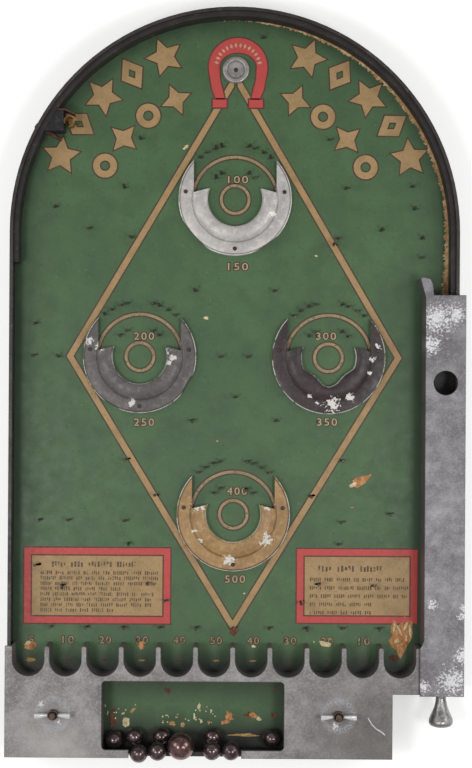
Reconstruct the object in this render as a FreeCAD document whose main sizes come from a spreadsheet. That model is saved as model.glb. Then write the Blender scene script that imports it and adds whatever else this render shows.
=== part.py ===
"""Bagatelle board game: a green playfield in a black steel rim, with a cast apron and a ball lane.

The board lies level on the table. +X is to the right of the player, +Y points away from the player
to the arched end, +Z is up. While it is drawn, the middle of the arch is at x = 0, y = 0 and the
table at z = 0. Every piece is then moved by the same two lengths, so that the origin ends up under
the middle of the whole game. All lengths are in millimetres.
"""

import FreeCAD, Part
import math
import os

import Sketcher

doc = FreeCAD.newDocument("Bagatelle")
sheet = doc.addObject("Spreadsheet::Sheet", "Sizes")
sheet.Label = "Sizes"


class Size:
    """A length: its value now, and the formula that ties a property to the sheet."""

    def __init__(self, value, formula):
        self.value = value
        self.formula = formula

    def __add__(self, other):
        other = as_size(other)
        return Size(self.value + other.value, f"({self.formula} + {other.formula})")

    def __sub__(self, other):
        other = as_size(other)
        return Size(self.value - other.value, f"({self.formula} - {other.formula})")

    def __mul__(self, number):
        return Size(self.value * number, f"({self.formula} * {number})")

    def __truediv__(self, number):
        return Size(self.value / number, f"({self.formula} / {number})")

    def __neg__(self):
        return Size(-self.value, f"(-1 * {self.formula})")


def as_size(length):
    return length if isinstance(length, Size) else Size(float(length), f"({float(length)})")


# The driving dimensions, one named cell each
LENGTHS = {
    # Case and rim band
    "case_radius": 177.2,
    "case_length": 589.8,
    "rim_height": 38.0,
    "rim_wall": 1.2,
    "hem_width": 2.6,
    "hem_depth": 3.0,
    "step_width": 52.6,
    "step_depth": 51.0,
    "fit_gap": 0.3,
    # Playfield board and the battens below it
    "board_rise": 12.0,
    "board_thick": 6.0,
    "batten_width": 16.0,
    # Arch liner
    "liner_thick": 5.0,
    "liner_drop": 0.5,
    "liner_left_tail": 24.5,
    "liner_right_tail": 60.0,
    # Apron casting
    "apron_skin": 2.5,
    "apron_lap": 1.6,
    "apron_rib": 2.2,
    "apron_round": 0.8,
    "apron_depth": 86.0,
    "apron_lane_gap": 1.8,
    "pocket_depth": 23.4,
    "finger_width": 4.1,
    "finger_left": 1.45,
    "finger_right": 3.95,
    "tray_width": 143.3,
    "tray_left_shift": 4.45,
    "tray_depth": 53.9,
    "tray_rail": 4.8,
    "tray_corner": 3.2,
    "notch_width": 88.6,
    "notch_left_shift": 6.15,
    "lip_rise": 12.0,
    "lip_depth": 2.6,
    "lip_out": 2.6,
    # Apron bolts and wing nuts
    "bolt_radius": 2.4,
    "bolt_left_inset": 37.1,
    "bolt_right_inset": 41.2,
    "bolt_front_inset": 33.0,
    "bolt_rise": 9.5,
    "boss_radius": 7.0,
    "nut_radius": 5.2,
    "nut_height": 7.5,
    "wing_span": 28.6,
    "wing_top": 13.0,
    "wing_thick": 3.2,
    "thread_gap": 0.06,
    # Ball lane casting
    "trough_rise": 6.0,
    "trough_wall": 2.0,
    "trough_end_gap": 0.2,
    "trough_round": 0.7,
    "trough_lap": 4.5,
    "trough_skirt": 18.0,
    "lane_width": 24.0,
    "cover_top_y": 49.1,
    "cover_flare": 3.0,
    "cover_flare_run": 6.0,
    "feed_radius": 9.4,
    "feed_y": 118.0,
    "lip_length": 14.0,
    "lip_flare": 4.2,
    # Plunger
    "plunger_rise": 9.0,
    "rod_radius": 3.0,
    "rod_reach": 65.0,
    "bush_gap": 0.06,
    "bush_radius": 4.6,
    "bush_flange": 7.5,
    "bush_flange_thick": 2.0,
    "knob_neck": 4.2,
    "knob_radius": 9.6,
    "knob_length": 27.0,
    "tip_radius": 5.2,
    "tip_length": 10.0,
    "collar_radius": 6.4,
    "collar_length": 3.0,
    "spring_radius": 5.0,
    "spring_wire": 1.1,
    "spring_turns": 14.0,
    # Scoring cups and their places
    "cup_radius": 45.2,
    "cup_bore": 21.8,
    "cup_crease": 34.3,
    "cup_crown": 7.4,
    "cup_flange": 5.2,
    "cup_sheet": 0.8,
    "horn_x": 33.0,
    "notch_rise": 4.9,
    "tooth_x": 20.0,
    "tooth_rise": 8.2,
    # Target cup
    "target_inset": 46.0,
    "target_radius": 10.8,
    "target_height": 3.6,
    "target_dish": 6.8,
    # Nails and pins
    "pin_radius": 0.75,
    "pin_rise": 8.5,
    "pin_depth": 4.0,
    "pin_head_radius": 1.25,
    "nail_radius": 0.8,
    "nail_head_radius": 1.7,
    "nail_head": 0.7,
    # Balls
    "ball_radius": 7.15,
    "large_ball_radius": 10.5,
    "ball_row_back": 3.9,
    # Rebound at the left of the arch
    "rebound_angle": 149.2,
    "rebound_block_x": 21.5,
    "rebound_block_y": 16.0,
    "rebound_height": 16.0,
    "rebound_strap": 1.2,
    "rebound_screw_turn": 2.8,
    "rebound_screw_rise": 8.0,
    # Rivets in the side walls
    "wall_rivet_y": 181.0,
    "wall_rivet_rise": 12.0,
    # Rear stand of bent wire
    "stand_wire": 2.0,
    "stand_half_width": 60.0,
    "stand_length": 92.0,
    "stand_batten_gap": 8.0,
    "stand_hinge_drop": 5.6,
    "stand_bend": 5.0,
    "clip_inset": 6.0,
    "clip_width": 10.0,
    "clip_wall": 1.6,
    "clip_reach": 16.0,
    "rear_batten_inset": 77.2,
    "front_batten_inset": 12.0,
}


class Names:
    """The sheet's cells as attributes, so that a length is written as size.case_radius."""


size = Names()
for row, (alias, number) in enumerate(LENGTHS.items(), start=1):
    sheet.set(f"A{row}", alias)
    sheet.set(f"B{row}", str(number))
    sheet.setAlias(f"B{row}", alias)
    setattr(size, alias, Size(number, f"Sizes.{alias}"))
doc.recompute()

zero = as_size(0)
nodes = {}


# Levels and places that several pieces share
board_top = size.board_rise + size.board_thick
apron_top = size.rim_height + size.apron_skin
liner_top = size.rim_height - size.hem_depth - size.liner_drop
lip_top = board_top + size.lip_rise
trough_top = size.rim_height + size.trough_rise
plunger_height = board_top + size.plunger_rise
stand_hinge_z = size.board_rise - size.stand_hinge_drop
front_y = size.case_radius - size.case_length
step_x = size.case_radius - size.step_width
step_y = front_y + size.step_depth
rim_inside = size.case_radius - size.rim_wall
lane_wall_x = rim_inside - size.lane_width - size.trough_wall
cover_right_x = size.case_radius + size.trough_lap
lane_middle_x = (lane_wall_x + cover_right_x) / 2
trough_end_y = step_y - size.trough_wall - size.trough_end_gap
apron_right_x = lane_wall_x - size.apron_lane_gap
apron_left_x = -size.case_radius + size.hem_width + size.fit_gap
pocket_tip_y = front_y + size.apron_depth
pocket_pitch = (apron_right_x - apron_left_x - size.finger_left - size.finger_right
                + size.finger_width) / 11
pocket_radius = (pocket_pitch - size.finger_width) / 2
pocket_first_x = apron_left_x + size.finger_left + pocket_radius
pocket_arc_y = pocket_tip_y - size.pocket_depth + pocket_radius
tray_middle_x = (step_x - size.case_radius) / 2 - size.tray_left_shift
tray_left_x = tray_middle_x - size.tray_width / 2
tray_right_x = tray_middle_x + size.tray_width / 2
tray_front_y = front_y + size.tray_rail
tray_back_y = tray_front_y + size.tray_depth
notch_left_x = tray_middle_x - size.notch_left_shift - size.notch_width / 2
notch_right_x = tray_middle_x - size.notch_left_shift + size.notch_width / 2
bolt_xs = (-size.case_radius + size.bolt_left_inset, step_x - size.bolt_right_inset)
bolt_y = front_y + size.bolt_front_inset
target_y = size.case_radius - size.target_inset
rear_batten_y = size.case_radius - size.rear_batten_inset
front_batten_y = front_y + size.front_batten_inset
shift_x = (size.apron_lap - size.trough_lap) / 2
rim_front_inside = front_y + size.rim_wall
ball_floor = board_top + size.ball_radius + size.fit_gap
ball_on_lip = lip_top + size.ball_radius + size.fit_gap
row_y = rim_front_inside + size.ball_radius + size.ball_row_back
foremost_ball_y = rim_front_inside + size.fit_gap
shift_y = -(size.case_radius + foremost_ball_y - size.ball_radius) / 2


# The layout of cups and pins is drawn for a field of this half width, and of this length from
# the middle of the arch to the apron. It stretches with the board.
DRAWN_RADIUS = 177.2
DRAWN_FIELD = 326.6


def on_field(x, y):
    """A place on the field, stretched to the board's own size."""
    if y > 0:
        return (size.case_radius / DRAWN_RADIUS) * x, (size.case_radius / DRAWN_RADIUS) * y
    return (size.case_radius / DRAWN_RADIUS) * x, (pocket_tip_y / DRAWN_FIELD) * -y


# The middle batten stretches with the field, so that its screws never meet the pins' points
middle_batten_y = on_field(0, -150.3)[1]


# Helpers for placing, sketching and padding

def bind(thing, prop, length):
    thing.setExpression(prop, as_size(length).formula)


def place(thing, x=0, y=0, z=0):
    """Put a piece at x, y, z from the middle of the arch, moved with the whole game."""
    bind(thing, "Placement.Base.x", shift_x + x)
    bind(thing, "Placement.Base.y", shift_y + y)
    bind(thing, "Placement.Base.z", as_size(z))


def node(name, thing):
    thing.Label = name
    nodes[name] = thing
    return thing


def new_body(name, x=0, y=0, z=0):
    body = doc.addObject("PartDesign::Body", name)
    place(body, x, y, z)
    return body


def new_sketch(body, name, plane="XY_Plane", height=0):
    """A sketch on one of the body's own planes, moved along the plane's normal."""
    sketch = body.newObject("Sketcher::SketchObject", name)
    origin_plane = [f for f in body.Origin.OriginFeatures if f.Role == plane][0]
    sketch.AttachmentSupport = [(origin_plane, "")]
    sketch.MapMode = "FlatFace"
    bind(sketch, "AttachmentOffset.Base.z", as_size(height))
    return sketch


def hold_point(sketch, curve, end, x, y):
    for kind, length in (("DistanceX", as_size(x)), ("DistanceY", as_size(y))):
        rule = Sketcher.Constraint(kind, -1, 1, curve, end, length.value)
        index = sketch.addConstraint(rule)
        sketch.setExpression(f"Constraints[{index}]", length.formula)


def draw_polygon(sketch, corners):
    corners = [(as_size(x), as_size(y)) for x, y in corners]
    points = [FreeCAD.Vector(x.value, y.value, 0) for x, y in corners]
    first = sketch.GeometryCount
    for k, point in enumerate(points):
        sketch.addGeometry(Part.LineSegment(point, points[(k + 1) % len(points)]), False)
    for k, (x, y) in enumerate(corners):
        following = first + (k + 1) % len(points)
        sketch.addConstraint(Sketcher.Constraint("Coincident", first + k, 2, following, 1))
        hold_point(sketch, first + k, 1, x, y)


def draw_rectangle(sketch, x_low, y_low, x_high, y_high):
    draw_polygon(sketch, [(x_low, y_low), (x_high, y_low), (x_high, y_high), (x_low, y_high)])


def draw_circle(sketch, x, y, radius):
    x, y, radius = as_size(x), as_size(y), as_size(radius)
    middle = FreeCAD.Vector(x.value, y.value, 0)
    curve = sketch.GeometryCount
    sketch.addGeometry(Part.Circle(middle, FreeCAD.Vector(0, 0, 1), radius.value), False)
    hold_point(sketch, curve, 3, x, y)
    index = sketch.addConstraint(Sketcher.Constraint("Radius", curve, radius.value))
    sketch.setExpression(f"Constraints[{index}]", radius.formula)


def pad(body, sketch, length):
    feature = body.newObject("PartDesign::Pad", sketch.Name + "_Pad")
    feature.Profile = sketch
    bind(feature, "Length", length)
    doc.recompute()
    return feature


def pocket(body, sketch, length=None, upwards=False):
    """Cut down from the sketch, or up; all the way when no length is given."""
    before = body.Shape.Volume
    feature = body.newObject("PartDesign::Pocket", sketch.Name + "_Pocket")
    feature.Profile = sketch
    feature.Reversed = upwards
    if length is None:
        feature.Type = "ThroughAll"
    else:
        bind(feature, "Length", length)
    doc.recompute()
    if not body.Shape.Volume < before:
        raise ValueError(f"{feature.Name} cuts nothing")
    return feature


def revolve(body, sketch):
    """Turn a profile about the sketch's own upright axis."""
    feature = body.newObject("PartDesign::Revolution", sketch.Name + "_Turned")
    feature.Profile = sketch
    feature.ReferenceAxis = (sketch, ["V_Axis"])
    feature.Angle = 360
    doc.recompute()
    return feature


def round_edges(body, base, radius, wanted):
    """Fillet the edges whose end points all pass the given test."""
    names = []
    for index, edge in enumerate(base.Shape.Edges, start=1):
        if all(wanted(vertex.Point) for vertex in edge.Vertexes):
            names.append(f"Edge{index}")
    feature = body.newObject("PartDesign::Fillet", base.Name + "_Rounded")
    feature.Base = (base, names)
    bind(feature, "Radius", radius)
    doc.recompute()
    return feature


def group(name, shapes):
    """One node that holds several loose solids of the same kind."""
    feature = doc.addObject("Part::Feature", name)
    feature.Shape = Part.makeCompound(shapes)
    place(feature)
    return node(name, feature)


def tools(name, parts):
    compound = doc.addObject("Part::Compound", name)
    compound.Links = parts
    return compound


def cut(name, base, tool):
    feature = doc.addObject("Part::Cut", name)
    feature.Base = base
    feature.Tool = tool
    return node(name, feature)


def vector(x, y, z):
    return FreeCAD.Vector(as_size(x).value, as_size(y).value, as_size(z).value)


def arc_between(start, corner, end):
    """The arc that leaves start towards the corner and arrives at end from the corner."""
    middle = (start + end) * 0.5
    half = (start - middle).Length
    rise = (corner - middle).Length
    sag = half * math.tan(math.atan2(rise, half) / 2)
    return Part.Arc(start, middle + (corner - middle) * (sag / rise), end).toShape()


def bent_rod(points, bend, radius):
    """A round rod along straight runs, with an arc of the given bend radius at each corner."""
    edges = []
    start = points[0]
    for before, corner, after in zip(points, points[1:], points[2:]):
        back = (before - corner).normalize()
        ahead = (after - corner).normalize()
        reach = bend / math.tan(back.getAngle(ahead) / 2)
        edges.append(Part.LineSegment(start, corner + back * reach).toShape())
        edges.append(arc_between(corner + back * reach, corner, corner + ahead * reach))
        start = corner + ahead * reach
    edges.append(Part.LineSegment(start, points[-1]).toShape())
    return swept_round(edges, points[0], points[1] - points[0], radius)


def swept_round(edges, start, direction, radius):
    circle = Part.Wire(Part.makeCircle(radius, start, direction))
    return Part.Wire(edges).makePipeShell([circle], True, False)


def round_uprights(body, base, radius, wanted):
    """Fillet the upright edges whose two ends pass the given test."""
    names = []
    for index, edge in enumerate(base.Shape.Edges, start=1):
        ends = [vertex.Point for vertex in edge.Vertexes]
        if len(ends) < 2 or not all(wanted(point) for point in ends):
            continue
        if abs(ends[0].x - ends[1].x) < 0.01 and abs(ends[0].y - ends[1].y) < 0.01:
            names.append(f"Edge{index}")
    feature = body.newObject("PartDesign::Fillet", base.Name + "_Rounded")
    feature.Base = (base, names)
    bind(feature, "Radius", radius)
    doc.recompute()
    return feature


def turned_screw(head_at, direction, radius, length, head_radius, head_height):
    """A round-headed screw: head_at is where the head's flat side meets the work."""
    shank = Part.makeCylinder(radius, length, head_at, direction)
    dome = (head_radius ** 2 + head_height ** 2) / (2 * head_height)
    ball = Part.makeSphere(dome, head_at + direction * (dome - head_height))
    disc = Part.makeCylinder(head_radius, head_height, head_at, -direction)
    slot = Part.makeBox(2 * head_radius, head_height, head_height)
    slot.translate(FreeCAD.Vector(-head_radius, -head_height / 2, 0.45 * head_height))
    slot.Placement = FreeCAD.Placement(
        head_at, FreeCAD.Rotation(FreeCAD.Vector(0, 0, 1), -direction)).multiply(slot.Placement)
    return shank.fuse(ball.common(disc).cut(slot)).removeSplitter()


def case_outline(inset):
    """The straight-sided part of the case, drawn in from its outer face by the given length."""
    side = size.case_radius - inset
    return [(-side, zero), (-side, front_y + inset), (step_x - inset, front_y + inset),
            (step_x - inset, step_y + inset), (side, step_y + inset), (side, zero)]


def case_profile(body, name, inset, height=0):
    """Two sketches that together give the case's plan: the arch's circle and the straight part."""
    arch = new_sketch(body, name + "Arch", height=height)
    draw_circle(arch, zero, zero, size.case_radius - inset)
    sides = new_sketch(body, name + "Sides", height=height)
    draw_polygon(sides, case_outline(inset))
    return arch, sides


# Rim band: one strip of steel bent round the case, its top edge folded in

def make_rim_body():
    body = new_body("RimBody")
    for sketch in case_profile(body, "RimOutside", zero):
        pad(body, sketch, size.rim_height)
    for sketch in case_profile(body, "RimMouth", size.hem_width, size.rim_height):
        pocket(body, sketch)
    wall_height = size.rim_height - size.hem_depth
    for sketch in case_profile(body, "RimInside", size.rim_wall):
        pocket(body, sketch, wall_height, upwards=True)

    finger_notch = new_sketch(body, "FingerNotch", height=size.rim_height)
    draw_rectangle(finger_notch, notch_left_x, front_y - 1,
                   notch_right_x, front_y + size.hem_width + 1)
    pocket(body, finger_notch, size.rim_height - lip_top)

    lip = new_sketch(body, "RolledLip", height=lip_top - size.lip_depth)
    draw_rectangle(lip, notch_left_x, front_y - size.lip_out, notch_right_x, rim_front_inside)
    rolled = pad(body, lip, size.lip_depth)
    lip_front = (front_y - size.lip_out).value
    round_edges(body, rolled, size.lip_depth * 0.4,
                lambda point: abs(point.y - lip_front) < 0.01)

    bush_hole = new_sketch(body, "BushHole", "XZ_Plane", height=-step_y + 1)
    draw_circle(bush_hole, lane_middle_x, plunger_height, size.bush_radius + size.bush_gap)
    pocket(body, bush_hole, size.rim_wall + 2)
    return body


rim_body = make_rim_body()


# Playfield board: one sheet of hard fibreboard that fills the rim

def make_board_body():
    body = new_body("BoardBody")
    inset = size.rim_wall + size.fit_gap
    for sketch in case_profile(body, "Board", inset, size.board_rise):
        pad(body, sketch, size.board_thick)
    holes = new_sketch(body, "BoltHoles", height=board_top)
    for x in bolt_xs:
        draw_circle(holes, x, bolt_y, size.bolt_radius + size.fit_gap)
    pocket(body, holes)
    return body


board_body = make_board_body()


# Battens: three wooden bars under the board, the rear one cut to the arch

def make_batten(name, y, left_x, right_x):
    bar = doc.addObject("Part::Box", name)
    bind(bar, "Length", right_x - left_x)
    bind(bar, "Width", size.batten_width)
    bind(bar, "Height", size.board_rise)
    place(bar, left_x, y - size.batten_width / 2)
    return bar


def make_rear_batten():
    bar = make_batten("RearBar", rear_batten_y, -rim_inside, rim_inside)
    disc = doc.addObject("Part::Cylinder", "RearBarEnds")
    bind(disc, "Radius", rim_inside - size.fit_gap)
    bind(disc, "Height", size.board_rise)
    place(disc)
    trimmed = doc.addObject("Part::MultiCommon", "RearBarTrimmed")
    trimmed.Shapes = [bar, disc]
    return trimmed


batten_end = rim_inside - size.fit_gap
front_batten_right_x = step_x - size.rim_wall - size.fit_gap
rear_bar = make_rear_batten()
middle_bar = make_batten("MiddleBar", middle_batten_y, -batten_end, batten_end)
front_bar = make_batten("FrontBar", front_batten_y, -batten_end, front_batten_right_x)


# Arch liner: the black fibre strip that guides the ball round the arch

def make_liner():
    def slab(name, radius, height, z):
        disc = doc.addObject("Part::Cylinder", name + "Arch")
        bind(disc, "Radius", radius)
        bind(disc, "Height", height)
        place(disc, 0, 0, z)
        tail = doc.addObject("Part::Box", name + "Tails")
        bind(tail, "Length", radius * 2)
        bind(tail, "Width", size.liner_right_tail)
        bind(tail, "Height", height)
        place(tail, -radius, -size.liner_right_tail, z)
        both = doc.addObject("Part::MultiFuse", name)
        both.Shapes = [disc, tail]
        return both

    height = liner_top - board_top
    outside = rim_inside - size.fit_gap
    inside = outside - size.liner_thick
    ring = doc.addObject("Part::Cut", "LinerRing")
    ring.Base = slab("LinerOuter", outside, height, board_top)
    ring.Tool = slab("LinerInner", inside, height + 2, board_top - 1)
    trims = []
    spare = [("BelowTail", -size.case_radius, -size.case_radius * 2, size.case_radius * 2,
              size.case_radius * 2 - size.liner_right_tail),
             ("LeftTail", -size.case_radius, -size.case_radius * 2, size.case_radius,
              size.case_radius * 2 - size.liner_left_tail)]
    for name, x, y, length, width in spare:
        trim = doc.addObject("Part::Box", name)
        bind(trim, "Length", length)
        bind(trim, "Width", width)
        bind(trim, "Height", height + 2)
        place(trim, x, y, board_top - 1)
        trims.append(trim)
    trimmed = doc.addObject("Part::Cut", "LinerTrimmed")
    trimmed.Base = ring
    trimmed.Tool = tools("LinerTrims", trims)
    return trimmed


liner_body = make_liner()


# Apron: the cast aluminium front cover with its row of pockets and its ball tray

rib_inset = size.hem_width + size.fit_gap


def apron_frame_corners(inset):
    left_x = -size.case_radius + inset
    low_y = front_y + inset
    return [(left_x, pocket_tip_y), (left_x, low_y), (step_x - inset, low_y),
            (step_x - inset, step_y + inset), (apron_right_x, step_y + inset),
            (apron_right_x, pocket_tip_y)]


def make_apron():
    body = new_body("ApronBody")
    leg_height = size.rim_height - board_top

    outer = new_sketch(body, "ApronRibOuter", height=board_top)
    draw_polygon(outer, apron_frame_corners(rib_inset))
    pad(body, outer, leg_height)
    hollow = new_sketch(body, "ApronRibInner", height=size.rim_height)
    inner = apron_frame_corners(rib_inset + size.apron_rib)
    inner[0] = (inner[0][0], tray_back_y)
    inner[4] = (apron_right_x - size.apron_rib, inner[4][1])
    inner[5] = (apron_right_x - size.apron_rib, tray_back_y)
    draw_polygon(hollow, inner)
    pocket(body, hollow)

    tray_frame = new_sketch(body, "TrayWalls", height=board_top)
    draw_rectangle(tray_frame, tray_left_x - size.apron_rib, front_y + rib_inset,
                   tray_right_x + size.apron_rib, tray_back_y)
    pad(body, tray_frame, leg_height)
    for side, x in zip(("Left", "Right"), bolt_xs):
        boss = new_sketch(body, side + "Boss", height=board_top)
        draw_circle(boss, x, bolt_y, size.boss_radius)
        pad(body, boss, leg_height)

    skin = new_sketch(body, "ApronSkin", height=size.rim_height)
    draw_polygon(skin, apron_frame_corners(-size.apron_lap))
    pad(body, skin, size.apron_skin)

    throat = new_sketch(body, "PocketThroat", height=apron_top)
    draw_rectangle(throat, pocket_first_x - pocket_radius, pocket_arc_y,
                   pocket_first_x + pocket_radius, pocket_tip_y + 1)
    throat_cut = pocket(body, throat)
    well = new_sketch(body, "PocketWell", height=apron_top)
    draw_circle(well, pocket_first_x, pocket_arc_y, pocket_radius)
    well_cut = pocket(body, well)
    row = body.newObject("PartDesign::LinearPattern", "PocketRow")
    row.Originals = [throat_cut, well_cut]
    row.Direction = (throat, ["H_Axis"])
    bind(row, "Length", pocket_pitch * 10)
    row.Occurrences = 11
    body.Tip = row
    doc.recompute()

    def at_tip(point):
        along_row = (point.x - pocket_first_x.value) / pocket_pitch.value
        return abs(point.y - pocket_tip_y.value) < 0.01 and 0 < along_row < 10.5

    round_uprights(body, row, size.finger_width * 0.45, at_tip)

    tray = new_sketch(body, "TrayMouth", height=apron_top)
    draw_rectangle(tray, tray_left_x, tray_front_y, tray_right_x, tray_back_y)
    tray_cut = pocket(body, tray)

    def at_corner(point):
        off_x = min(abs(point.x - side.value) for side in (tray_left_x, tray_right_x))
        off_y = min(abs(point.y - side.value) for side in (tray_front_y, tray_back_y))
        return off_x < 0.01 and off_y < 0.01

    round_uprights(body, tray_cut, size.tray_corner, at_corner)

    relief = new_sketch(body, "RailRelief", height=board_top)
    draw_rectangle(relief, tray_left_x, front_y + rib_inset - 0.1,
                   tray_right_x, tray_front_y + size.tray_corner)
    pocket(body, relief, leg_height, upwards=True)
    notch = new_sketch(body, "ApronNotch", height=apron_top)
    draw_rectangle(notch, notch_left_x, front_y - size.apron_lap - 1,
                   notch_right_x, tray_front_y)
    pocket(body, notch)

    bolt_holes = new_sketch(body, "ApronBoltHoles", height=apron_top)
    for x in bolt_xs:
        draw_circle(bolt_holes, x, bolt_y, size.bolt_radius + size.fit_gap)
    holes = pocket(body, bolt_holes)

    top = apron_top.value
    round_edges(body, holes, size.apron_round, lambda point: abs(point.z - top) < 0.01)
    return node("apron_casting", body)


apron = make_apron()


# Ball lane: the cast cover over the lane, its inner wall, its skirt and its end

def make_trough():
    body = new_body("TroughBody")
    cover_under = trough_top - size.trough_wall
    wall_right_x = lane_wall_x + size.trough_wall
    wall_low_y = step_y + size.hem_width + size.fit_gap

    cover = new_sketch(body, "LaneCover", height=cover_under)
    draw_polygon(cover, [
        (lane_wall_x, -size.cover_top_y), (lane_wall_x, pocket_tip_y + size.cover_flare_run),
        (lane_wall_x - size.cover_flare, pocket_tip_y),
        (lane_wall_x - size.cover_flare, trough_end_y), (cover_right_x, trough_end_y),
        (cover_right_x, -size.cover_top_y)])
    pad(body, cover, size.trough_wall)

    wall = new_sketch(body, "LaneWall", height=board_top)
    draw_rectangle(wall, lane_wall_x, wall_low_y, wall_right_x, -size.cover_top_y)
    pad(body, wall, cover_under - board_top)

    tongue = new_sketch(body, "LaneTongue", height=board_top)
    lip_y = -size.cover_top_y + size.lip_length
    draw_polygon(tongue, [
        (lane_wall_x, -size.cover_top_y - 2), (wall_right_x, -size.cover_top_y - 2),
        (wall_right_x, -size.cover_top_y + 2), (wall_right_x - size.lip_flare * 0.8, lip_y - 1),
        (wall_right_x - size.lip_flare, lip_y), (lane_wall_x - size.lip_flare, lip_y - 1)])
    pad(body, tongue, trough_top - board_top)
    flange = new_sketch(body, "TongueTop", height=cover_under)
    draw_polygon(flange, [
        (lane_wall_x, -size.cover_top_y - 2), (wall_right_x + 4.5, -size.cover_top_y - 2),
        (wall_right_x + 3.5, lip_y - 6), (wall_right_x + 1.5, lip_y - 1.5),
        (wall_right_x - size.lip_flare, lip_y)])
    pad(body, flange, size.trough_wall)

    skirt = new_sketch(body, "LaneSkirt", height=trough_top - size.trough_skirt)
    draw_rectangle(skirt, cover_right_x - size.trough_wall, trough_end_y,
                   cover_right_x, -size.cover_top_y)
    pad(body, skirt, size.trough_skirt - size.trough_wall)
    end = new_sketch(body, "LaneEnd", height=board_top)
    draw_rectangle(end, lane_wall_x, trough_end_y, cover_right_x, trough_end_y + size.trough_wall)
    pad(body, end, cover_under - board_top)

    feed = new_sketch(body, "FeedHole", height=trough_top)
    draw_circle(feed, lane_middle_x, -size.feed_y, size.feed_radius)
    pocket(body, feed, size.trough_wall)
    bush_hole = new_sketch(body, "EndHole", "XZ_Plane", height=-trough_end_y + 1)
    draw_circle(bush_hole, lane_middle_x, plunger_height, size.bush_radius + size.bush_gap)
    hole = pocket(body, bush_hole, size.trough_wall + 2)

    top = trough_top.value
    round_edges(body, hole, size.trough_round, lambda point: abs(point.z - top) < 0.01)
    return body


trough_body = make_trough()


# Scoring cups: four pressed crescents, open towards the arch

def cup_section():
    """The sheet's section from the bore to the outer edge, as radius and height."""
    bore, crease, edge = size.cup_bore, size.cup_crease, size.cup_radius
    crown, flange, sheet_thick = size.cup_crown, size.cup_flange, size.cup_sheet
    band = crease - bore
    over = [(bore, zero), (bore, crown - 2.0), (bore + 0.5, crown - 1.1), (bore + 1.5, crown - 0.4),
            (bore + band * 0.35, crown), (bore + band * 0.65, crown - 0.5),
            (bore + band * 0.9, crown - 1.8), (crease, flange - 0.6), (crease + 0.8, flange - 0.1),
            (crease + 1.8, flange), (edge - 1.0, flange), (edge - 0.3, flange - 0.3),
            (edge, flange - 1.0), (edge, zero)]
    under = [(edge - sheet_thick, zero), (edge - sheet_thick, flange - 1.3),
             (edge - 1.4, flange - sheet_thick), (crease + 1.6, flange - sheet_thick),
             (crease - 0.2, flange - 0.6 - sheet_thick),
             (bore + band * 0.85, crown - 1.8 - sheet_thick),
             (bore + band * 0.6, crown - 0.5 - sheet_thick),
             (bore + band * 0.35, crown - sheet_thick), (bore + 1.7, crown - 0.5 - sheet_thick),
             (bore + sheet_thick, crown - 2.2), (bore + sheet_thick, zero)]
    return over + under


nail_angles = (8, 172, 270)
nail_circle = (size.cup_crease + size.cup_radius) / 2
nail_hole = size.nail_radius + 0.2


def make_cup(name, x, y):
    body = new_body(name.title().replace("_", ""), x, y, board_top)
    section = new_sketch(body, name + "_section", "XZ_Plane")
    draw_polygon(section, cup_section())
    revolve(body, section)
    mouth = new_sketch(body, name + "_mouth", height=size.cup_crown + 1)
    draw_polygon(mouth, [
        (-size.horn_x, size.cup_radius + 1), (-size.horn_x, size.notch_rise),
        (-size.tooth_x, size.tooth_rise), (size.tooth_x, size.tooth_rise),
        (size.horn_x, size.notch_rise), (size.horn_x, size.cup_radius + 1)])
    pocket(body, mouth)
    holes = new_sketch(body, name + "_nail_holes", height=size.cup_crown + 1)
    for angle in nail_angles:
        turn = math.radians(angle)
        draw_circle(holes, nail_circle * math.cos(turn), nail_circle * math.sin(turn), nail_hole)
    pocket(body, holes)
    return node(name, body)


cup_places = {
    "cup_upper": on_field(0, 27.8),
    "cup_left": on_field(-75.4, -98.3),
    "cup_right": on_field(75.4, -98.3),
    "cup_lower": on_field(0, -224.0),
}
for cup_name, (cup_x, cup_y) in cup_places.items():
    make_cup(cup_name, cup_x, cup_y)


# Target cup: a small turned dish at the head of the board

def make_target_cup():
    body = new_body("TargetBody", 0, target_y, board_top)
    section = new_sketch(body, "TargetSection", "XZ_Plane")
    rim, dish, height = size.target_radius, size.target_dish, size.target_height
    draw_polygon(section, [
        (zero, zero), (rim, zero), (rim, height - 1.2), (rim - 0.5, height - 0.4),
        (rim - 1.4, height), (dish + 1.2, height), (dish + 0.4, height - 0.4),
        (dish, height - 1.1), (dish - 0.6, height - 1.9), (size.nail_head_radius + 0.5, height - 2.3),
        (zero, height - 2.3)])
    revolve(body, section)
    hole = new_sketch(body, "TargetHole", height=height)
    draw_circle(hole, zero, zero, nail_hole)
    pocket(body, hole)
    return node("target_cup", body)


make_target_cup()


# Pins and nails, driven into the board

def nail(x, y, head_z, radius, head_radius, head_height, lean=0, lean_way=0):
    """A nail with its point in the board, leaning by a few degrees about its foot."""
    top = board_top.value
    depth = size.pin_depth.value
    shank = Part.makeCylinder(radius, head_z - top + depth, FreeCAD.Vector(0, 0, -depth))
    head = Part.makeCone(head_radius, head_radius * 0.85, head_height,
                         FreeCAD.Vector(0, 0, head_z - top))
    whole = shank.fuse(head)
    tilt = FreeCAD.Rotation(FreeCAD.Vector(math.cos(lean_way), math.sin(lean_way), 0), lean)
    whole.Placement = FreeCAD.Placement(FreeCAD.Vector(x, y, top), tilt)
    return whole


# Scattered pins that stand in mirrored pairs, as half the gap and the place along the board
PAIRED_PINS = [(75.4, 76.0), (88.5, 37.0), (143.6, 21.0), (116.8, 4.0), (82.5, -3.0),
               (31.5, -45.2), (10.8, -98.0), (33.7, -149.0), (86.3, -180.5), (62.2, -209.0),
               (86.5, -229.5), (83.7, -247.4), (67.8, -279.0), (54.2, -293.2)]
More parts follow.
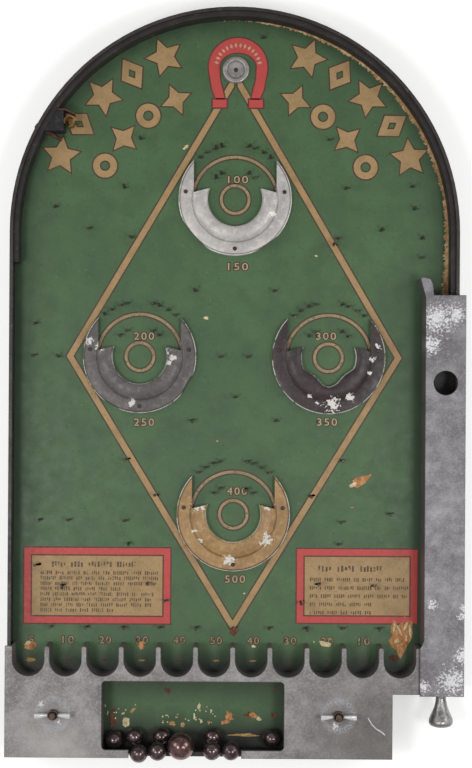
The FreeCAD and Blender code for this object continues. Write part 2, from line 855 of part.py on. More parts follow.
# Pins with no partner on the other side
SINGLE_PINS = [(21.4, 157.0), (0.9, -130.2), (-159.0, -72.2), (-160.4, -97.7), (-140.5, -98.4),
               (-154.8, -229.2), (-131.7, -229.1), (-157.0, -265.0), (-136.0, -281.7),
               (149.2, -2.5), (149.0, -18.0), (141.7, 38.9), (79.0, -8.5), (125.0, -222.7),
               (111.8, -280.2)]
# Two arcs of pins above each cup, as angles on each side of its own upright line. The outer arc
# is drawn for a mouth of this half width in a ring of this radius, and narrows with the mouth.
DRAWN_HORN_X = 33.0
DRAWN_PIN_RING = 43.7
pin_ring = size.cup_radius - 1.5
mouth_stretch = (math.asin(size.horn_x.value / pin_ring.value)
                 / math.asin(DRAWN_HORN_X / DRAWN_PIN_RING))
arc_pins = [(pin_ring, [angle * mouth_stretch for angle in (14, 21, 31, 40)]),
            (size.cup_bore + 1.4, (27, 42))]
row_pin_y = pocket_tip_y + 12.2


def pin_places():
    """Where every pin goes in, in millimetres from the middle of the arch."""
    drawn = list(SINGLE_PINS)
    for x, y in PAIRED_PINS:
        drawn += [(-x, y), (x, y)]
    places = [tuple(length.value for length in on_field(x, y)) for x, y in drawn]
    for k in range(10):
        x = pocket_first_x + pocket_pitch * (k + 0.5)
        places.append((x.value, row_pin_y.value))
    for cup_x, cup_y in cup_places.values():
        for radius, angles in arc_pins:
            for angle in angles:
                for side in (-1, 1):
                    turn = math.radians(90 + side * angle)
                    places.append((cup_x.value + radius.value * math.cos(turn),
                                   cup_y.value + radius.value * math.sin(turn)))
    return places


def make_pins():
    shapes = []
    head_z = (board_top + size.pin_rise).value
    for k, (x, y) in enumerate(pin_places()):
        lean = 2 + 6 * ((k * 0.618) % 1)
        shapes.append(nail(x, y, head_z, size.pin_radius.value, size.pin_head_radius.value,
                           0.6, lean, k * 2.4))
    return group("playfield_pins", shapes)


def make_cup_nails():
    shapes = []
    head_z = (board_top + size.cup_flange).value
    for cup_x, cup_y in cup_places.values():
        for angle in nail_angles:
            turn = math.radians(angle)
            x = cup_x.value + nail_circle.value * math.cos(turn)
            y = cup_y.value + nail_circle.value * math.sin(turn)
            shapes.append(nail(x, y, head_z, size.nail_radius.value,
                               size.nail_head_radius.value, size.nail_head.value))
    return group("cup_nails", shapes)


def make_target_nail():
    head_z = (board_top + size.target_height).value - 2.3
    return group("target_nail", [nail(0, target_y.value, head_z, size.nail_radius.value,
                                      size.nail_head_radius.value, size.nail_head.value)])


pins = make_pins()
cup_nails = make_cup_nails()
target_nail = make_target_nail()


# Apron bolts: round-headed bolts that come up through board and apron

def make_apron_bolts():
    shapes = []
    up = FreeCAD.Vector(0, 0, 1)
    length = (apron_top + size.bolt_rise - size.board_rise).value
    for x in bolt_xs:
        under = vector(x, bolt_y, size.board_rise)
        shapes.append(turned_screw(under, up, size.bolt_radius.value, length,
                                   head_radius=6.0, head_height=3.2))
    return group("apron_bolts", shapes)


make_apron_bolts()


# Wing nuts: a turned hub with two upswept wings

def make_wing_nut(name, x):
    body = new_body(name.title().replace("_", ""), x, bolt_y, apron_top + size.fit_gap)
    hub = new_sketch(body, name + "_hub", "XZ_Plane")
    draw_polygon(hub, [(zero, zero), (size.nut_radius, zero), (size.nut_radius, as_size(1.2)),
                       (size.nut_radius - 1.2, size.nut_height), (zero, size.nut_height)])
    revolve(body, hub)
    half = size.wing_span / 2
    for side in (-1, 1):
        wing = new_sketch(body, f"{name}_wing_{'left' if side < 0 else 'right'}", "XZ_Plane",
                          height=-size.wing_thick / 2)
        corners = [(size.nut_radius - 2.5, as_size(1.5)), (size.nut_radius + 2.5, as_size(3.0)),
                   (half - 2.0, size.wing_top * 0.55), (half, size.wing_top * 0.8),
                   (half - 1.5, size.wing_top), (half - 5.0, size.wing_top * 0.93),
                   (size.nut_radius - 2.0, size.nut_height - 0.5)]
        draw_polygon(wing, [(px * side, pz) for px, pz in corners])
        pad(body, wing, size.wing_thick)
    bore = new_sketch(body, name + "_bore", height=size.nut_height + 1)
    draw_circle(bore, zero, zero, size.bolt_radius + size.thread_gap)
    pocket(body, bore)
    return node(name, body)


make_wing_nut("wing_nut_left", bolt_xs[0])
make_wing_nut("wing_nut_right", bolt_xs[1])


# Plunger: a steel rod with knob, collar and tip, sprung against a bushing

def make_turned_along_y(name, x, y, z, corners):
    """A turned piece whose axis lies along the lane; corners give radius and distance along +Y."""
    body = new_body(name.title().replace("_", ""), x, y, z)
    section = new_sketch(body, name + "_section", "XY_Plane")
    draw_polygon(section, corners)
    revolve(body, section)
    return node(name, body)


rod_x = lane_middle_x
rod_z = plunger_height
flange_y = step_y + size.rim_wall + 0.1
bush_inner_y = flange_y + size.bush_flange_thick
tip_back_y = trough_end_y + size.rod_reach
collar_back_y = tip_back_y - size.collar_length
knob_front_y = trough_end_y - size.fit_gap

make_turned_along_y("plunger_bushing", rod_x, trough_end_y, rod_z, [
    (size.rod_radius + size.bush_gap, zero), (size.bush_radius, zero),
    (size.bush_radius, flange_y - trough_end_y), (size.bush_flange, flange_y - trough_end_y),
    (size.bush_flange, bush_inner_y - trough_end_y),
    (size.rod_radius + size.bush_gap, bush_inner_y - trough_end_y)])
make_turned_along_y("plunger_rod", rod_x, knob_front_y, rod_z, [
    (zero, as_size(-8)), (size.rod_radius, as_size(-8)),
    (size.rod_radius, tip_back_y - knob_front_y), (size.rod_radius - 1.2, tip_back_y - knob_front_y),
    (size.rod_radius - 1.2, tip_back_y - knob_front_y + size.tip_length - 3),
    (zero, tip_back_y - knob_front_y + size.tip_length - 3)])
make_turned_along_y("plunger_collar", rod_x, collar_back_y, rod_z, [
    (size.rod_radius, zero), (size.collar_radius, zero), (size.collar_radius, size.collar_length),
    (size.rod_radius, size.collar_length)])
make_turned_along_y("plunger_tip", rod_x, tip_back_y, rod_z, [
    (size.rod_radius - 1.2, zero), (size.tip_radius, zero), (size.tip_radius, size.tip_length - 2),
    (size.tip_radius - 0.7, size.tip_length - 0.6), (size.tip_radius - 2.2, size.tip_length),
    (zero, size.tip_length), (zero, size.tip_length - 3),
    (size.rod_radius - 1.2, size.tip_length - 3)])


def make_knob():
    """The turned knob: a slim neck that swells to a bell and closes in a shallow dome."""
    neck, bell, long = size.knob_neck, size.knob_radius, size.knob_length
    swell = bell - neck
    profile = [(size.rod_radius, zero), (neck, zero), (neck - 0.1, -long * 0.16)]
    for share, height in ((0.05, 0.27), (0.17, 0.38), (0.36, 0.49), (0.60, 0.60), (0.84, 0.70),
                          (0.97, 0.78), (1.0, 0.84)):
        profile.append((neck + swell * share, -long * height))
    for share, height in ((0.96, 0.90), (0.84, 0.95), (0.62, 0.98), (0.34, 0.995)):
        profile.append((bell * share, -long * height))
    profile += [(zero, -long), (zero, as_size(-8)), (size.rod_radius, as_size(-8))]
    return make_turned_along_y("plunger_knob", rod_x, knob_front_y, rod_z, profile)


make_knob()


def make_spring():
    """A coil of quarter turns, each made of two tangent arcs."""
    wire = size.spring_wire.value / 2
    radius = size.spring_radius.value
    start_y = bush_inner_y.value + wire + 0.15
    length = collar_back_y.value - wire - 0.15 - start_y
    steps = int(size.spring_turns.value) * 4
    rise = length / steps

    def on_helix(k):
        turn = k * math.pi / 2
        return FreeCAD.Vector(rod_x.value + radius * math.cos(turn), start_y + k * rise,
                              rod_z.value + radius * math.sin(turn))

    def along(k):
        turn = k * math.pi / 2
        return FreeCAD.Vector(-radius * math.pi / 2 * math.sin(turn), rise,
                              radius * math.pi / 2 * math.cos(turn)).normalize()

    edges = []
    for k in range(steps):
        start, end, leave, arrive = on_helix(k), on_helix(k + 1), along(k), along(k + 1)
        chord, both = end - start, leave + arrive
        spread = 2 * (1 - leave.dot(arrive))
        reach = (-chord.dot(both) + math.sqrt(chord.dot(both) ** 2 + spread * chord.dot(chord))) / spread
        near, far = start + leave * reach, end - arrive * reach
        middle = (near + far) * 0.5
        edges.append(arc_between(start, near, middle))
        edges.append(arc_between(middle, far, end))
    per_turn = 24
    points = Part.Wire(edges).discretize(Number=steps // 4 * per_turn + 1)
    gap = min(points[k].distanceToPoint(points[j]) for k in range(len(points))
              for j in range(k + per_turn // 2, min(len(points), k + 2 * per_turn))) - 2 * wire
    print("plunger spring: least gap to itself", round(gap, 2), "mm")
    return group("plunger_spring", [swept_round(edges, on_helix(0), along(0), wire)])


make_spring()


# Balls: nine small steel balls and one large one, lying in the tray

def make_ball(name, x, y, z, radius):
    ball = doc.addObject("Part::Sphere", name)
    bind(ball, "Radius", radius)
    place(ball, x, y, z)
    return node(name, ball)


# Places across the tray are from its middle, and places along it from the row that a ball is in
ROW_BALLS = [(-62.6, -2.8), (-46.4, -0.3), (-25.0, 0.0), (15.4, 0.0), (62.6, -1.0)]
LIP_BALLS = [(-42.4, 0.0), (-27.7, 1.7), (15.2, 2.3), (30.1, 2.3)]
for k, (ball_x, ball_y) in enumerate(ROW_BALLS, start=1):
    make_ball(f"ball_{k}", tray_middle_x + ball_x, row_y + ball_y, ball_floor, size.ball_radius)
for k, (ball_x, ball_y) in enumerate(LIP_BALLS, start=6):
    make_ball(f"ball_{k}", tray_middle_x + ball_x, foremost_ball_y + ball_y, ball_on_lip,
              size.ball_radius)
make_ball("ball_large", tray_middle_x - 9.4, rim_front_inside + 6.4,
          lip_top + size.large_ball_radius - 1.8, size.large_ball_radius)


# Rebound: a block, a steel strap and a brass leaf, against the liner on the left of the arch

def make_rebound():
    """The rebound's own solids, placed about the point where its block meets the liner."""
    liner_face = (rim_inside - size.fit_gap - size.liner_thick).value
    low_z = board_top.value
    turn = math.radians(size.rebound_angle.value)
    foot = FreeCAD.Vector(liner_face * math.cos(turn), liner_face * math.sin(turn), low_z)
    half_x = size.rebound_block_x.value / 2
    half_y = size.rebound_block_y.value / 2
    sheet_thick = size.rebound_strap.value
    inside_liner = Part.makeCylinder(liner_face - 0.2, 60.0, FreeCAD.Vector(0, 0, 0))

    screw_turn = turn + math.radians(size.rebound_screw_turn.value)
    outward = FreeCAD.Vector(math.cos(screw_turn), math.sin(screw_turn), 0)
    rim_face = outward * size.case_radius.value
    rim_face.z = low_z + size.rebound_screw_rise.value
    screw_radius, washer_radius, washer_thick, washer_gap = 1.5, 4.4, 1.0, 0.1
    head_at = rim_face + outward * (washer_thick + 2 * washer_gap)
    screw = turned_screw(head_at, -outward, screw_radius, length=22.0, head_radius=3.4, head_height=2.0)
    washer = Part.makeCylinder(washer_radius, washer_thick, rim_face + outward * washer_gap, outward)
    washer = washer.cut(Part.makeCylinder(screw_radius, 3.0, rim_face - outward, outward))

    block = Part.makeBox(2 * half_x, 2 * half_y, size.rebound_height.value,
                         foot - FreeCAD.Vector(half_x, half_y, 0))
    block = block.common(inside_liner).cut(screw)

    # The strap lies along the block's far side and bends in past its end
    strap_rise, strap_height = 5.0, 12.0
    strap_left = foot.x - half_x + 7.5
    strap_bend = foot.x + half_x + 1.0
    strap_y = foot.y + half_y + 0.1
    plan = [FreeCAD.Vector(x, y, low_z + strap_rise) for x, y in (
        (strap_left, strap_y), (strap_bend, strap_y), (strap_bend + 8.0, strap_y - 3.6),
        (strap_bend + 7.5, strap_y - 2.4 + sheet_thick * 0.1), (strap_bend + 0.2, strap_y + sheet_thick),
        (strap_left, strap_y + sheet_thick), (strap_left, strap_y))]
    strap = Part.Face(Part.makePolygon(plan)).extrude(FreeCAD.Vector(0, 0, strap_height))
    strap = strap.common(inside_liner)

    # The leaf is a nearly closed curl of thin brass, held against the block's end
    leaf_radius, leaf_thick, leaf_rise, leaf_height = 4.3, 0.5, 5.5, 11.0
    curl = FreeCAD.Vector(foot.x + half_x + leaf_radius + 0.3, foot.y - 0.6, low_z + leaf_rise)
    below = curl - FreeCAD.Vector(0, 0, 1)
    leaf = Part.makeCylinder(leaf_radius, leaf_height, curl)
    leaf = leaf.cut(Part.makeCylinder(leaf_radius - leaf_thick, leaf_height + 2, below))
    mouth = curl + FreeCAD.Vector(-leaf_radius - 0.3, -leaf_radius - 0.3, -1)
    leaf = leaf.cut(Part.makeBox(4.0, 3.0, leaf_height + 2, mouth))
    return screw, washer, block, strap, leaf


screw_shape, washer_shape, block_shape, strap_shape, leaf_shape = make_rebound()
rebound_screw = group("rebound_screw", [screw_shape])
group("rebound_washer", [washer_shape])
group("rebound_block", [block_shape])
group("rebound_strap", [strap_shape])
group("rebound_leaf", [leaf_shape])
cut("arch_liner", liner_body, rebound_screw)


# Rear stand: a bent wire that folds flat under the board

hinge_y = rear_batten_y - size.batten_width / 2 - size.stand_batten_gap


def make_stand():
    half = size.stand_half_width.value
    foot_y = hinge_y.value - size.stand_length.value
    z = stand_hinge_z.value
    stub = half - size.clip_inset.value - size.clip_width.value - 2.0
    points = [FreeCAD.Vector(x, y, z) for x, y in (
        (-stub, hinge_y.value), (-half, hinge_y.value), (-half, foot_y), (half, foot_y),
        (half, hinge_y.value), (stub, hinge_y.value))]
    return group("rear_stand", [bent_rod(points, size.stand_bend.value, size.stand_wire.value)])


def make_stand_clips():
    """Two saddle clips that hold the stand's ends up against the board."""
    clips = []
    screws = []
    width = size.clip_width.value
    wall = size.clip_wall.value
    y = hinge_y.value
    z = stand_hinge_z.value
    top = size.board_rise.value
    bore = size.stand_wire.value + size.thread_gap.value
    reach = size.clip_reach.value
    for side in (-1, 1):
        middle_x = side * (size.stand_half_width.value - size.clip_inset.value - width / 2)
        low_x = middle_x - width / 2
        saddle = Part.makeBox(width, 2 * (bore + wall), top - z + bore + wall,
                              FreeCAD.Vector(low_x, y - bore - wall, z - bore - wall))
        plate = Part.makeBox(width, reach, wall, FreeCAD.Vector(low_x, y - reach, top - wall))
        hole = Part.makeCylinder(bore, width + 2, FreeCAD.Vector(low_x - 1, y, z),
                                 FreeCAD.Vector(1, 0, 0))
        under = FreeCAD.Vector(middle_x, y - 0.66 * reach, top - wall)
        screw = turned_screw(under, FreeCAD.Vector(0, 0, 1), radius=1.2, length=4.0 + wall,
                             head_radius=2.6, head_height=1.6)
        clips.append(saddle.fuse(plate).cut(hole).cut(screw).removeSplitter())
        screws.append(screw)
    return group("stand_clips", clips), group("stand_clip_screws", screws)


make_stand()
stand_clips, clip_screws = make_stand_clips()


# Screws and rivets in the rim, the battens and the lane casting

# Where the batten screws stand, as shares of half the case's width
BATTEN_SCREWS = {"rear": (-0.62, 0.0, 0.62), "middle": (-0.8, 0.0, 0.8), "front": (-0.85, -0.2, 0.56)}
RIM_FRONT_SCREWS = (-0.68, -0.17, 0.4)
RIM_ARCH_ANGLES = (20, 60, 120, 160)
TROUGH_SCREWS = (0.13, 0.5, 0.87)


def make_batten_screws():
    """Countersunk screws that come up through the battens into the board."""
    shank_radius, head_radius, head_height, sunk = 1.6, 3.4, 2.2, 0.4
    slot_width, slot_depth = 0.9, 0.8
    shapes = []
    up = FreeCAD.Vector(0, 0, 1)
    half = size.case_radius.value
    places = {"rear": rear_batten_y, "middle": middle_batten_y, "front": front_batten_y}
    for name, shares in BATTEN_SCREWS.items():
        for share in shares:
            foot = FreeCAD.Vector(share * half, places[name].value, sunk)
            shank = Part.makeCylinder(shank_radius, size.board_rise.value + 4.0, foot, up)
            head = Part.makeCone(head_radius, shank_radius, head_height, foot, up)
            slot = Part.makeBox(2 * head_radius + 0.2, slot_width, slot_depth + 0.2,
                                foot - FreeCAD.Vector(head_radius + 0.1, slot_width / 2, 0.2))
            shapes.append(shank.fuse(head).cut(slot))
    return group("batten_screws", shapes)


def make_rim_screws():
    """Small screws through the band: into the batten ends below, into the board's edge above."""
    low_z = size.board_rise.value / 2
    side = size.case_radius.value
    middle_y, batten_y = middle_batten_y.value, front_batten_y.value
    places = [((-side, middle_y, low_z), (1, 0, 0)), ((-side, batten_y, low_z), (1, 0, 0)),
              ((side, middle_y, low_z), (-1, 0, 0)), ((step_x.value, batten_y, low_z), (-1, 0, 0))]
    for share in RIM_FRONT_SCREWS:
        places.append(((share * side, front_y.value, low_z), (0, 1, 0)))
    edge_z = (size.board_rise + size.board_thick / 2).value
    for angle in RIM_ARCH_ANGLES:
        way_x, way_y = math.cos(math.radians(angle)), math.sin(math.radians(angle))
        places.append(((side * way_x, side * way_y, edge_z), (-way_x, -way_y, 0)))
    screws = [turned_screw(FreeCAD.Vector(*at), FreeCAD.Vector(*way), radius=1.3, length=9.0,
                           head_radius=2.4, head_height=1.3) for at, way in places]
    return group("rim_screws", screws)


def make_trough_screws():
    """Countersunk screws through the lane's skirt and the rim, with square nuts inside."""
    shank_radius, head_radius, head_height, slot_width = 1.5, 3.0, 1.6, 0.8
    nut_thick, nut_width, nut_tall, nut_gap = 2.2, 5.5, 3.6, 0.1
    screws = []
    nuts = []
    outside = cover_right_x.value
    inside = rim_inside.value
    z = (size.rim_height - size.hem_depth).value - head_height
    inward = FreeCAD.Vector(-1, 0, 0)
    for share in TROUGH_SCREWS:
        y = -size.cover_top_y.value + share * (trough_end_y + size.cover_top_y).value
        at = FreeCAD.Vector(outside, y, z)
        head = Part.makeCone(head_radius, shank_radius, head_height, at, inward)
        shank = Part.makeCylinder(shank_radius, outside - inside + 3.0, at, inward)
        slot = Part.makeBox(slot_width, slot_width, 2 * head_radius + 1, at - FreeCAD.Vector(
            slot_width - 0.1, slot_width / 2, head_radius + 0.5))
        screw = head.fuse(shank).cut(slot)
        corner = FreeCAD.Vector(inside - nut_thick - nut_gap, y - nut_width / 2, z - 2.2)
        nut = Part.makeBox(nut_thick, nut_width, nut_tall, corner)
        screws.append(screw)
        nuts.append(nut.cut(screw))
    return group("trough_screws", screws), group("trough_nuts", nuts)


def make_wall_rivets():
    """One round-headed rivet in each side wall of the field, half way down."""
    z = board_top.value + size.wall_rivet_rise.value
    y = -size.wall_rivet_y.value
    rivets = []
    for face_x, way, wall in ((-rim_inside.value, -1, size.rim_wall.value),
                              (lane_wall_x.value, 1, size.trough_wall.value)):
        outward = FreeCAD.Vector(way, 0, 0)
        head = turned_screw(FreeCAD.Vector(face_x, y, z), outward, radius=1.4, length=wall + 0.1,
                            head_radius=2.6, head_height=1.6)
        clench = Part.makeCone(2.2, 1.6, 0.8, FreeCAD.Vector(face_x + way * wall, y, z), outward)
        rivets.append(head.fuse(clench).removeSplitter())
    return group("wall_rivets", rivets)


batten_screws = make_batten_screws()
rim_screws = make_rim_screws()
trough_screws, trough_nuts = make_trough_screws()
wall_rivets = make_wall_rivets()


# Pieces that the fasteners pass through, cut with the fasteners themselves

cut("rim_band", rim_body, tools("RimFasteners", [rim_screws, rebound_screw, trough_screws, wall_rivets]))
cut("playfield_board", board_body, tools("BoardFasteners", [
    pins, cup_nails, target_nail, batten_screws, rim_screws, clip_screws]))
cut("trough_casting", trough_body, tools("TroughFasteners", [trough_screws, wall_rivets]))
cut("rear_batten", rear_bar, tools("RearBattenFasteners", [batten_screws, rim_screws]))
cut("middle_batten", middle_bar, tools("MiddleBattenFasteners", [batten_screws, rim_screws]))
cut("front_batten", front_bar, tools("FrontBattenFasteners", [batten_screws, rim_screws]))


# Check everything, then write one file for each piece

def check_and_export():
    doc.recompute()
    for thing in doc.Objects:
        if "Invalid" in thing.State or "Error" in thing.State:
            raise ValueError(f"{thing.Name} failed: {thing.State}")
    os.makedirs("parts", exist_ok=True)
    for name, thing in sorted(nodes.items()):
        shape = thing.Shape
        if shape.isNull() or not shape.isValid() or not shape.Solids:
            raise ValueError(f"{name} has no valid solid")
        shape.exportStep(f"parts/{name}.step")
        box = shape.BoundBox
        print(f"{name}: {len(shape.Solids)} solid(s), {shape.Volume:.0f} mm3, "
              f"z {box.ZMin:.1f} to {box.ZMax:.1f}")
    print(len(nodes), "pieces")


check_and_export()
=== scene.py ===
# %% [markdown]
# A bagatelle board lies flat on a pale table and is looked at from straight above.
# The construction comes in as a fixed frame: its nodes stay where they are, and get their finish here.
# What the frame can't hold, such as printed ink, worn paint and hammered sheet, is modelled on top.

# %% Load the frame
import math
import random

import bpy
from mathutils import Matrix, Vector


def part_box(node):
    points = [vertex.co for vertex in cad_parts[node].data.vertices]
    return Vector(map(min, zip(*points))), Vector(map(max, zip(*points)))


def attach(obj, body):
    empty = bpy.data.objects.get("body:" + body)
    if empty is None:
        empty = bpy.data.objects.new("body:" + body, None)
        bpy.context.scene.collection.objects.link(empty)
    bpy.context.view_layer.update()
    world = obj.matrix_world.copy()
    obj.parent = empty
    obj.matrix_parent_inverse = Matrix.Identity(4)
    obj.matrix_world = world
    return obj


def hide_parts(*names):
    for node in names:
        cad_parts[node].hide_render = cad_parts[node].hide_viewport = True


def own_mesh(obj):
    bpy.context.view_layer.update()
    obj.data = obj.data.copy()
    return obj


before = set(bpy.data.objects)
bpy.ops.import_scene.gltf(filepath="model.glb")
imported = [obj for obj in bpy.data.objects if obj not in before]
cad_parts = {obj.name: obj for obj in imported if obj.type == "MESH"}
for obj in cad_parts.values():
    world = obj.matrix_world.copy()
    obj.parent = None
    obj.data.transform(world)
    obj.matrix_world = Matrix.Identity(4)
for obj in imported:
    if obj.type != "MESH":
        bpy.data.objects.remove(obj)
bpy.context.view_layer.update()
bpy.ops.object.select_all(action="DESELECT")
MM = 0.001

# %% [markdown]
# Every place is measured from one point: the middle of the arch, at the top of the playfield.
# The rim band is as wide as the arch and ends at its head, so its box gives that point.

# %% The middle of the arch
rim_low, rim_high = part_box("rim_band")
case_radius = (rim_high.x - rim_low.x) / 2
board_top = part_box("cup_upper")[0].z
arch = Vector(((rim_low.x + rim_high.x) / 2, rim_high.y - case_radius, board_top))


def at(x, y, rise=0.0):
    """A place in millimetres from the middle of the arch and above the playfield, in metres."""
    return arch + Vector((x, y, rise)) * MM


print("arch middle", [round(v / MM, 2) for v in arch], "radius", round(case_radius / MM, 1))

# %% [markdown]
# The camera looks straight down from about 1.2 m, with the long side of the picture along the board.
# The board lies turned by a third of a degree, so the camera is turned instead.

# %% Camera
CAMERA_HEIGHT = 1.2
FIELD_LENGTH = 0.6144
PICTURE_MIDDLE = (0.00015, 0.000725)
BOARD_TURN = 0.0062
SENSOR = 36.0
camera_data = bpy.data.cameras.new("camera")
camera_data.sensor_width = SENSOR
camera_data.lens = SENSOR * CAMERA_HEIGHT / FIELD_LENGTH
camera = bpy.data.objects.new("camera", camera_data)
camera.location = (*PICTURE_MIDDLE, board_top + CAMERA_HEIGHT)
camera.rotation_euler = (0, 0, BOARD_TURN)
bpy.context.collection.objects.link(camera)
bpy.context.scene.camera = camera
print("lens", round(camera_data.lens, 2), "mm")

# %% [markdown]
# A node shader is a chain of small steps. One function adds a step: a socket that is handed in is
# linked, and any other value is set on the step itself. A mask is a number from 0 to 1 at each point of
# a surface, and two more functions join several masks into one.

# %% Shader helpers


def linear(code, alpha=1.0):
    """An sRGB hex colour as the linear numbers that a shader takes."""
    parts = [int(code[k:k + 2], 16) / 255 for k in (1, 3, 5)]
    return [c / 12.92 if c <= 0.04045 else ((c + 0.055) / 1.055) ** 2.4 for c in parts] + [alpha]


def add_node(tree, kind, inputs=None, **settings):
    node = tree.nodes.new(kind)
    for name, value in settings.items():
        setattr(node, name, value)
    for name, value in (inputs or {}).items():
        if isinstance(value, bpy.types.NodeSocket):
            tree.links.new(value, node.inputs[name])
        else:
            node.inputs[name].default_value = linear(value) if isinstance(value, str) else value
    return node


def any_of(tree, mask, *others):
    """A mask that shows wherever one of these does."""
    for other in others:
        mask = add_node(tree, "ShaderNodeMath", {0: mask, 1: other}, operation="MAXIMUM").outputs[0]
    return mask


def all_of(tree, mask, *others):
    """A mask that shows only where all of these do."""
    for other in others:
        mask = add_node(tree, "ShaderNodeMath", {0: mask, 1: other}, operation="MULTIPLY").outputs[0]
    return mask


# %% [markdown]
# The floor is a large pale sheet and the world a plain pale grey, so that nothing colours the object.
# The sheet glows a little, for the camera and for reflections only: it looks white and keeps its shadow.
# Two wide soft lamps stand low on the left and the right, so that each pin throws two soft shadows.
# Two small ones hang high, and give each ball its pair of bright points.

# %% Floor, world and lamps
FLOOR_SIZE = 6
FLOOR_WHITE, FLOOR_ROUGHNESS, FLOOR_GLOW = "#F7F7F6", 0.9, 0.34
AMBIENT = 0.40
LAMPS = {
    "low": {"power": 1.9, "size": 0.42, "place": (0.86, 0.16, 0.66)},
    "high": {"power": 2.7, "size": 0.23, "place": (0.46, -0.20, 1.10)},
}

bpy.ops.mesh.primitive_plane_add(size=FLOOR_SIZE, location=(0, 0, 0))
floor = bpy.context.object
floor.name = "floor"
floor_paper = bpy.data.materials.new("floor_paper")
floor_paper.use_nodes = True
floor_tree = floor_paper.node_tree
sheet = floor_tree.nodes["Principled BSDF"].inputs
sheet["Base Color"].default_value = linear(FLOOR_WHITE)
sheet["Roughness"].default_value = FLOOR_ROUGHNESS
sheet["Emission Color"].default_value = (1, 1, 1, 1)
rays = add_node(floor_tree, "ShaderNodeLightPath").outputs
seen = any_of(floor_tree, rays["Is Camera Ray"], rays["Is Glossy Ray"], rays["Is Transmission Ray"])
floor_tree.links.new(all_of(floor_tree, seen, FLOOR_GLOW), sheet["Emission Strength"])
floor.data.materials.append(floor_paper)

world = bpy.data.worlds.new("world")
world.use_nodes = True
sky = world.node_tree.nodes["Background"].inputs
sky["Color"].default_value = (1, 1, 1, 1)
sky["Strength"].default_value = AMBIENT
bpy.context.scene.world = world

for level, setting in LAMPS.items():
    for side_name, side in (("left", -1), ("right", 1)):
        lamp_data = bpy.data.lights.new(f"lamp_{level}_{side_name}", "AREA")
        lamp_data.energy = setting["power"]
        lamp_data.size = setting["size"]
        lamp = bpy.data.objects.new(lamp_data.name, lamp_data)
        x, y, z = setting["place"]
        lamp.location = (x * side, y, z)
        lamp.rotation_euler = (-lamp.location).to_track_quat("-Z", "Y").to_euler()
        bpy.context.collection.objects.link(lamp)
bpy.context.scene.view_settings.view_transform = "Standard"

# %% [markdown]
# Old paint is never one colour: it is cloudy, speckled, scuffed and chipped. All of these are one idea,
# a second colour that shows where a noise rises past a level. So one function lays a colour over
# another in patches, and can crowd the patches round chosen places. Other masks follow a place or the
# tilt of a face: the normal's upward part is 1 on a level face, 0 on a wall and -1 underneath.

# %% Patches of colour
STEEP = (0.75, 0.35)
UNDERSIDE = (-0.4, -0.6)


def noise_scale(size):
    """The scale that makes a noise's clouds about this many millimetres wide."""
    return 1 / (size * MM)


def distance_to(tree, place, x, y):
    """How far a place is from an upright line at x and y, in metres."""
    flat = add_node(tree, "ShaderNodeVectorMath", {0: place, 1: (1, 1, 0)}, operation="MULTIPLY")
    return add_node(tree, "ShaderNodeVectorMath", {0: flat.outputs[0], 1: (x * MM, y * MM, 0)},
                    operation="DISTANCE").outputs["Value"]


def ramp(tree, value, none, full):
    """A mask that grows from 0 to 1 between two places, in millimetres."""
    return add_node(tree, "ShaderNodeMapRange", {
        "Value": value, "From Min": none * MM, "From Max": full * MM}).outputs[0]


def band(tree, value, first, last, start=0.0):
    """A mask that is 1 between two ramps, given as pairs and measured from a start."""
    return all_of(tree, *(ramp(tree, value, start + none, start + full) for none, full in (first, last)))


def tilted(tree, none, full):
    """A mask that grows as the normal's upward part goes from one value to the other."""
    facing = add_node(tree, "ShaderNodeNewGeometry")
    parts = add_node(tree, "ShaderNodeSeparateXYZ", {0: facing.outputs["Normal"]})
    return add_node(tree, "ShaderNodeMapRange", {
        "Value": parts.outputs["Z"], "From Min": none, "From Max": full}).outputs[0]


def near(tree, place, spots):
    """A value that is 1 in the middle of the nearest spot and 0 outside all of them."""
    return any_of(tree, *(ramp(tree, distance_to(tree, place, x, y), radius, 0) for x, y, radius in spots))


def patches(tree, place, size, level, blur=0.03, detail=4.0, crowd=None, crowding=0.0, stretch=(1, 1, 1)):
    """A mask of cloudy patches: 1 where the noise passes the level, sooner where it is crowded."""
    spread = add_node(tree, "ShaderNodeMapping", {"Vector": place, "Scale": stretch})
    cloud = add_node(tree, "ShaderNodeTexNoise", {
        "Vector": spread.outputs[0], "Scale": noise_scale(size), "Detail": detail, "Roughness": 0.6})
    value = cloud.outputs["Fac"]
    if crowd is not None:
        value = add_node(tree, "ShaderNodeMath", {0: crowd, 1: crowding, 2: value},
                         operation="MULTIPLY_ADD").outputs[0]
    return add_node(tree, "ShaderNodeMapRange", {
        "Value": value, "From Min": level - blur, "From Max": level + blur}).outputs[0]


def lay_over(tree, below, above, mask, strength=1.0):
    """One colour over another where the mask says so."""
    if strength < 1.0:
        mask = all_of(tree, mask, strength)
    return add_node(tree, "ShaderNodeMix", {0: mask, 6: below, 7: above}, data_type="RGBA").outputs[2]


def mottled(tree, place, colour, layers):
    """A colour with others over it in patches, each as its tone, size, level, blur and strength."""
    for tone, size, level, blur, strength in layers:
        colour = lay_over(tree, colour, tone, patches(tree, place, size, level, blur), strength)
    return colour


def start_finish(name, metallic=0.0, roughness=0.5, centre=(0, 0, 0)):
    """A new finish: its tree, and the place on the piece from the given centre."""
    finish = bpy.data.materials.new(name)
    finish.use_nodes = True
    tree = finish.node_tree
    tree.nodes["Principled BSDF"].inputs["Metallic"].default_value = metallic
    tree.nodes["Principled BSDF"].inputs["Roughness"].default_value = roughness
    spot = add_node(tree, "ShaderNodeTexCoord")
    from_centre = add_node(tree, "ShaderNodeVectorMath", {0: spot.outputs["Object"], 1: tuple(centre)},
                           operation="SUBTRACT")
    return finish, tree, from_centre.outputs[0]


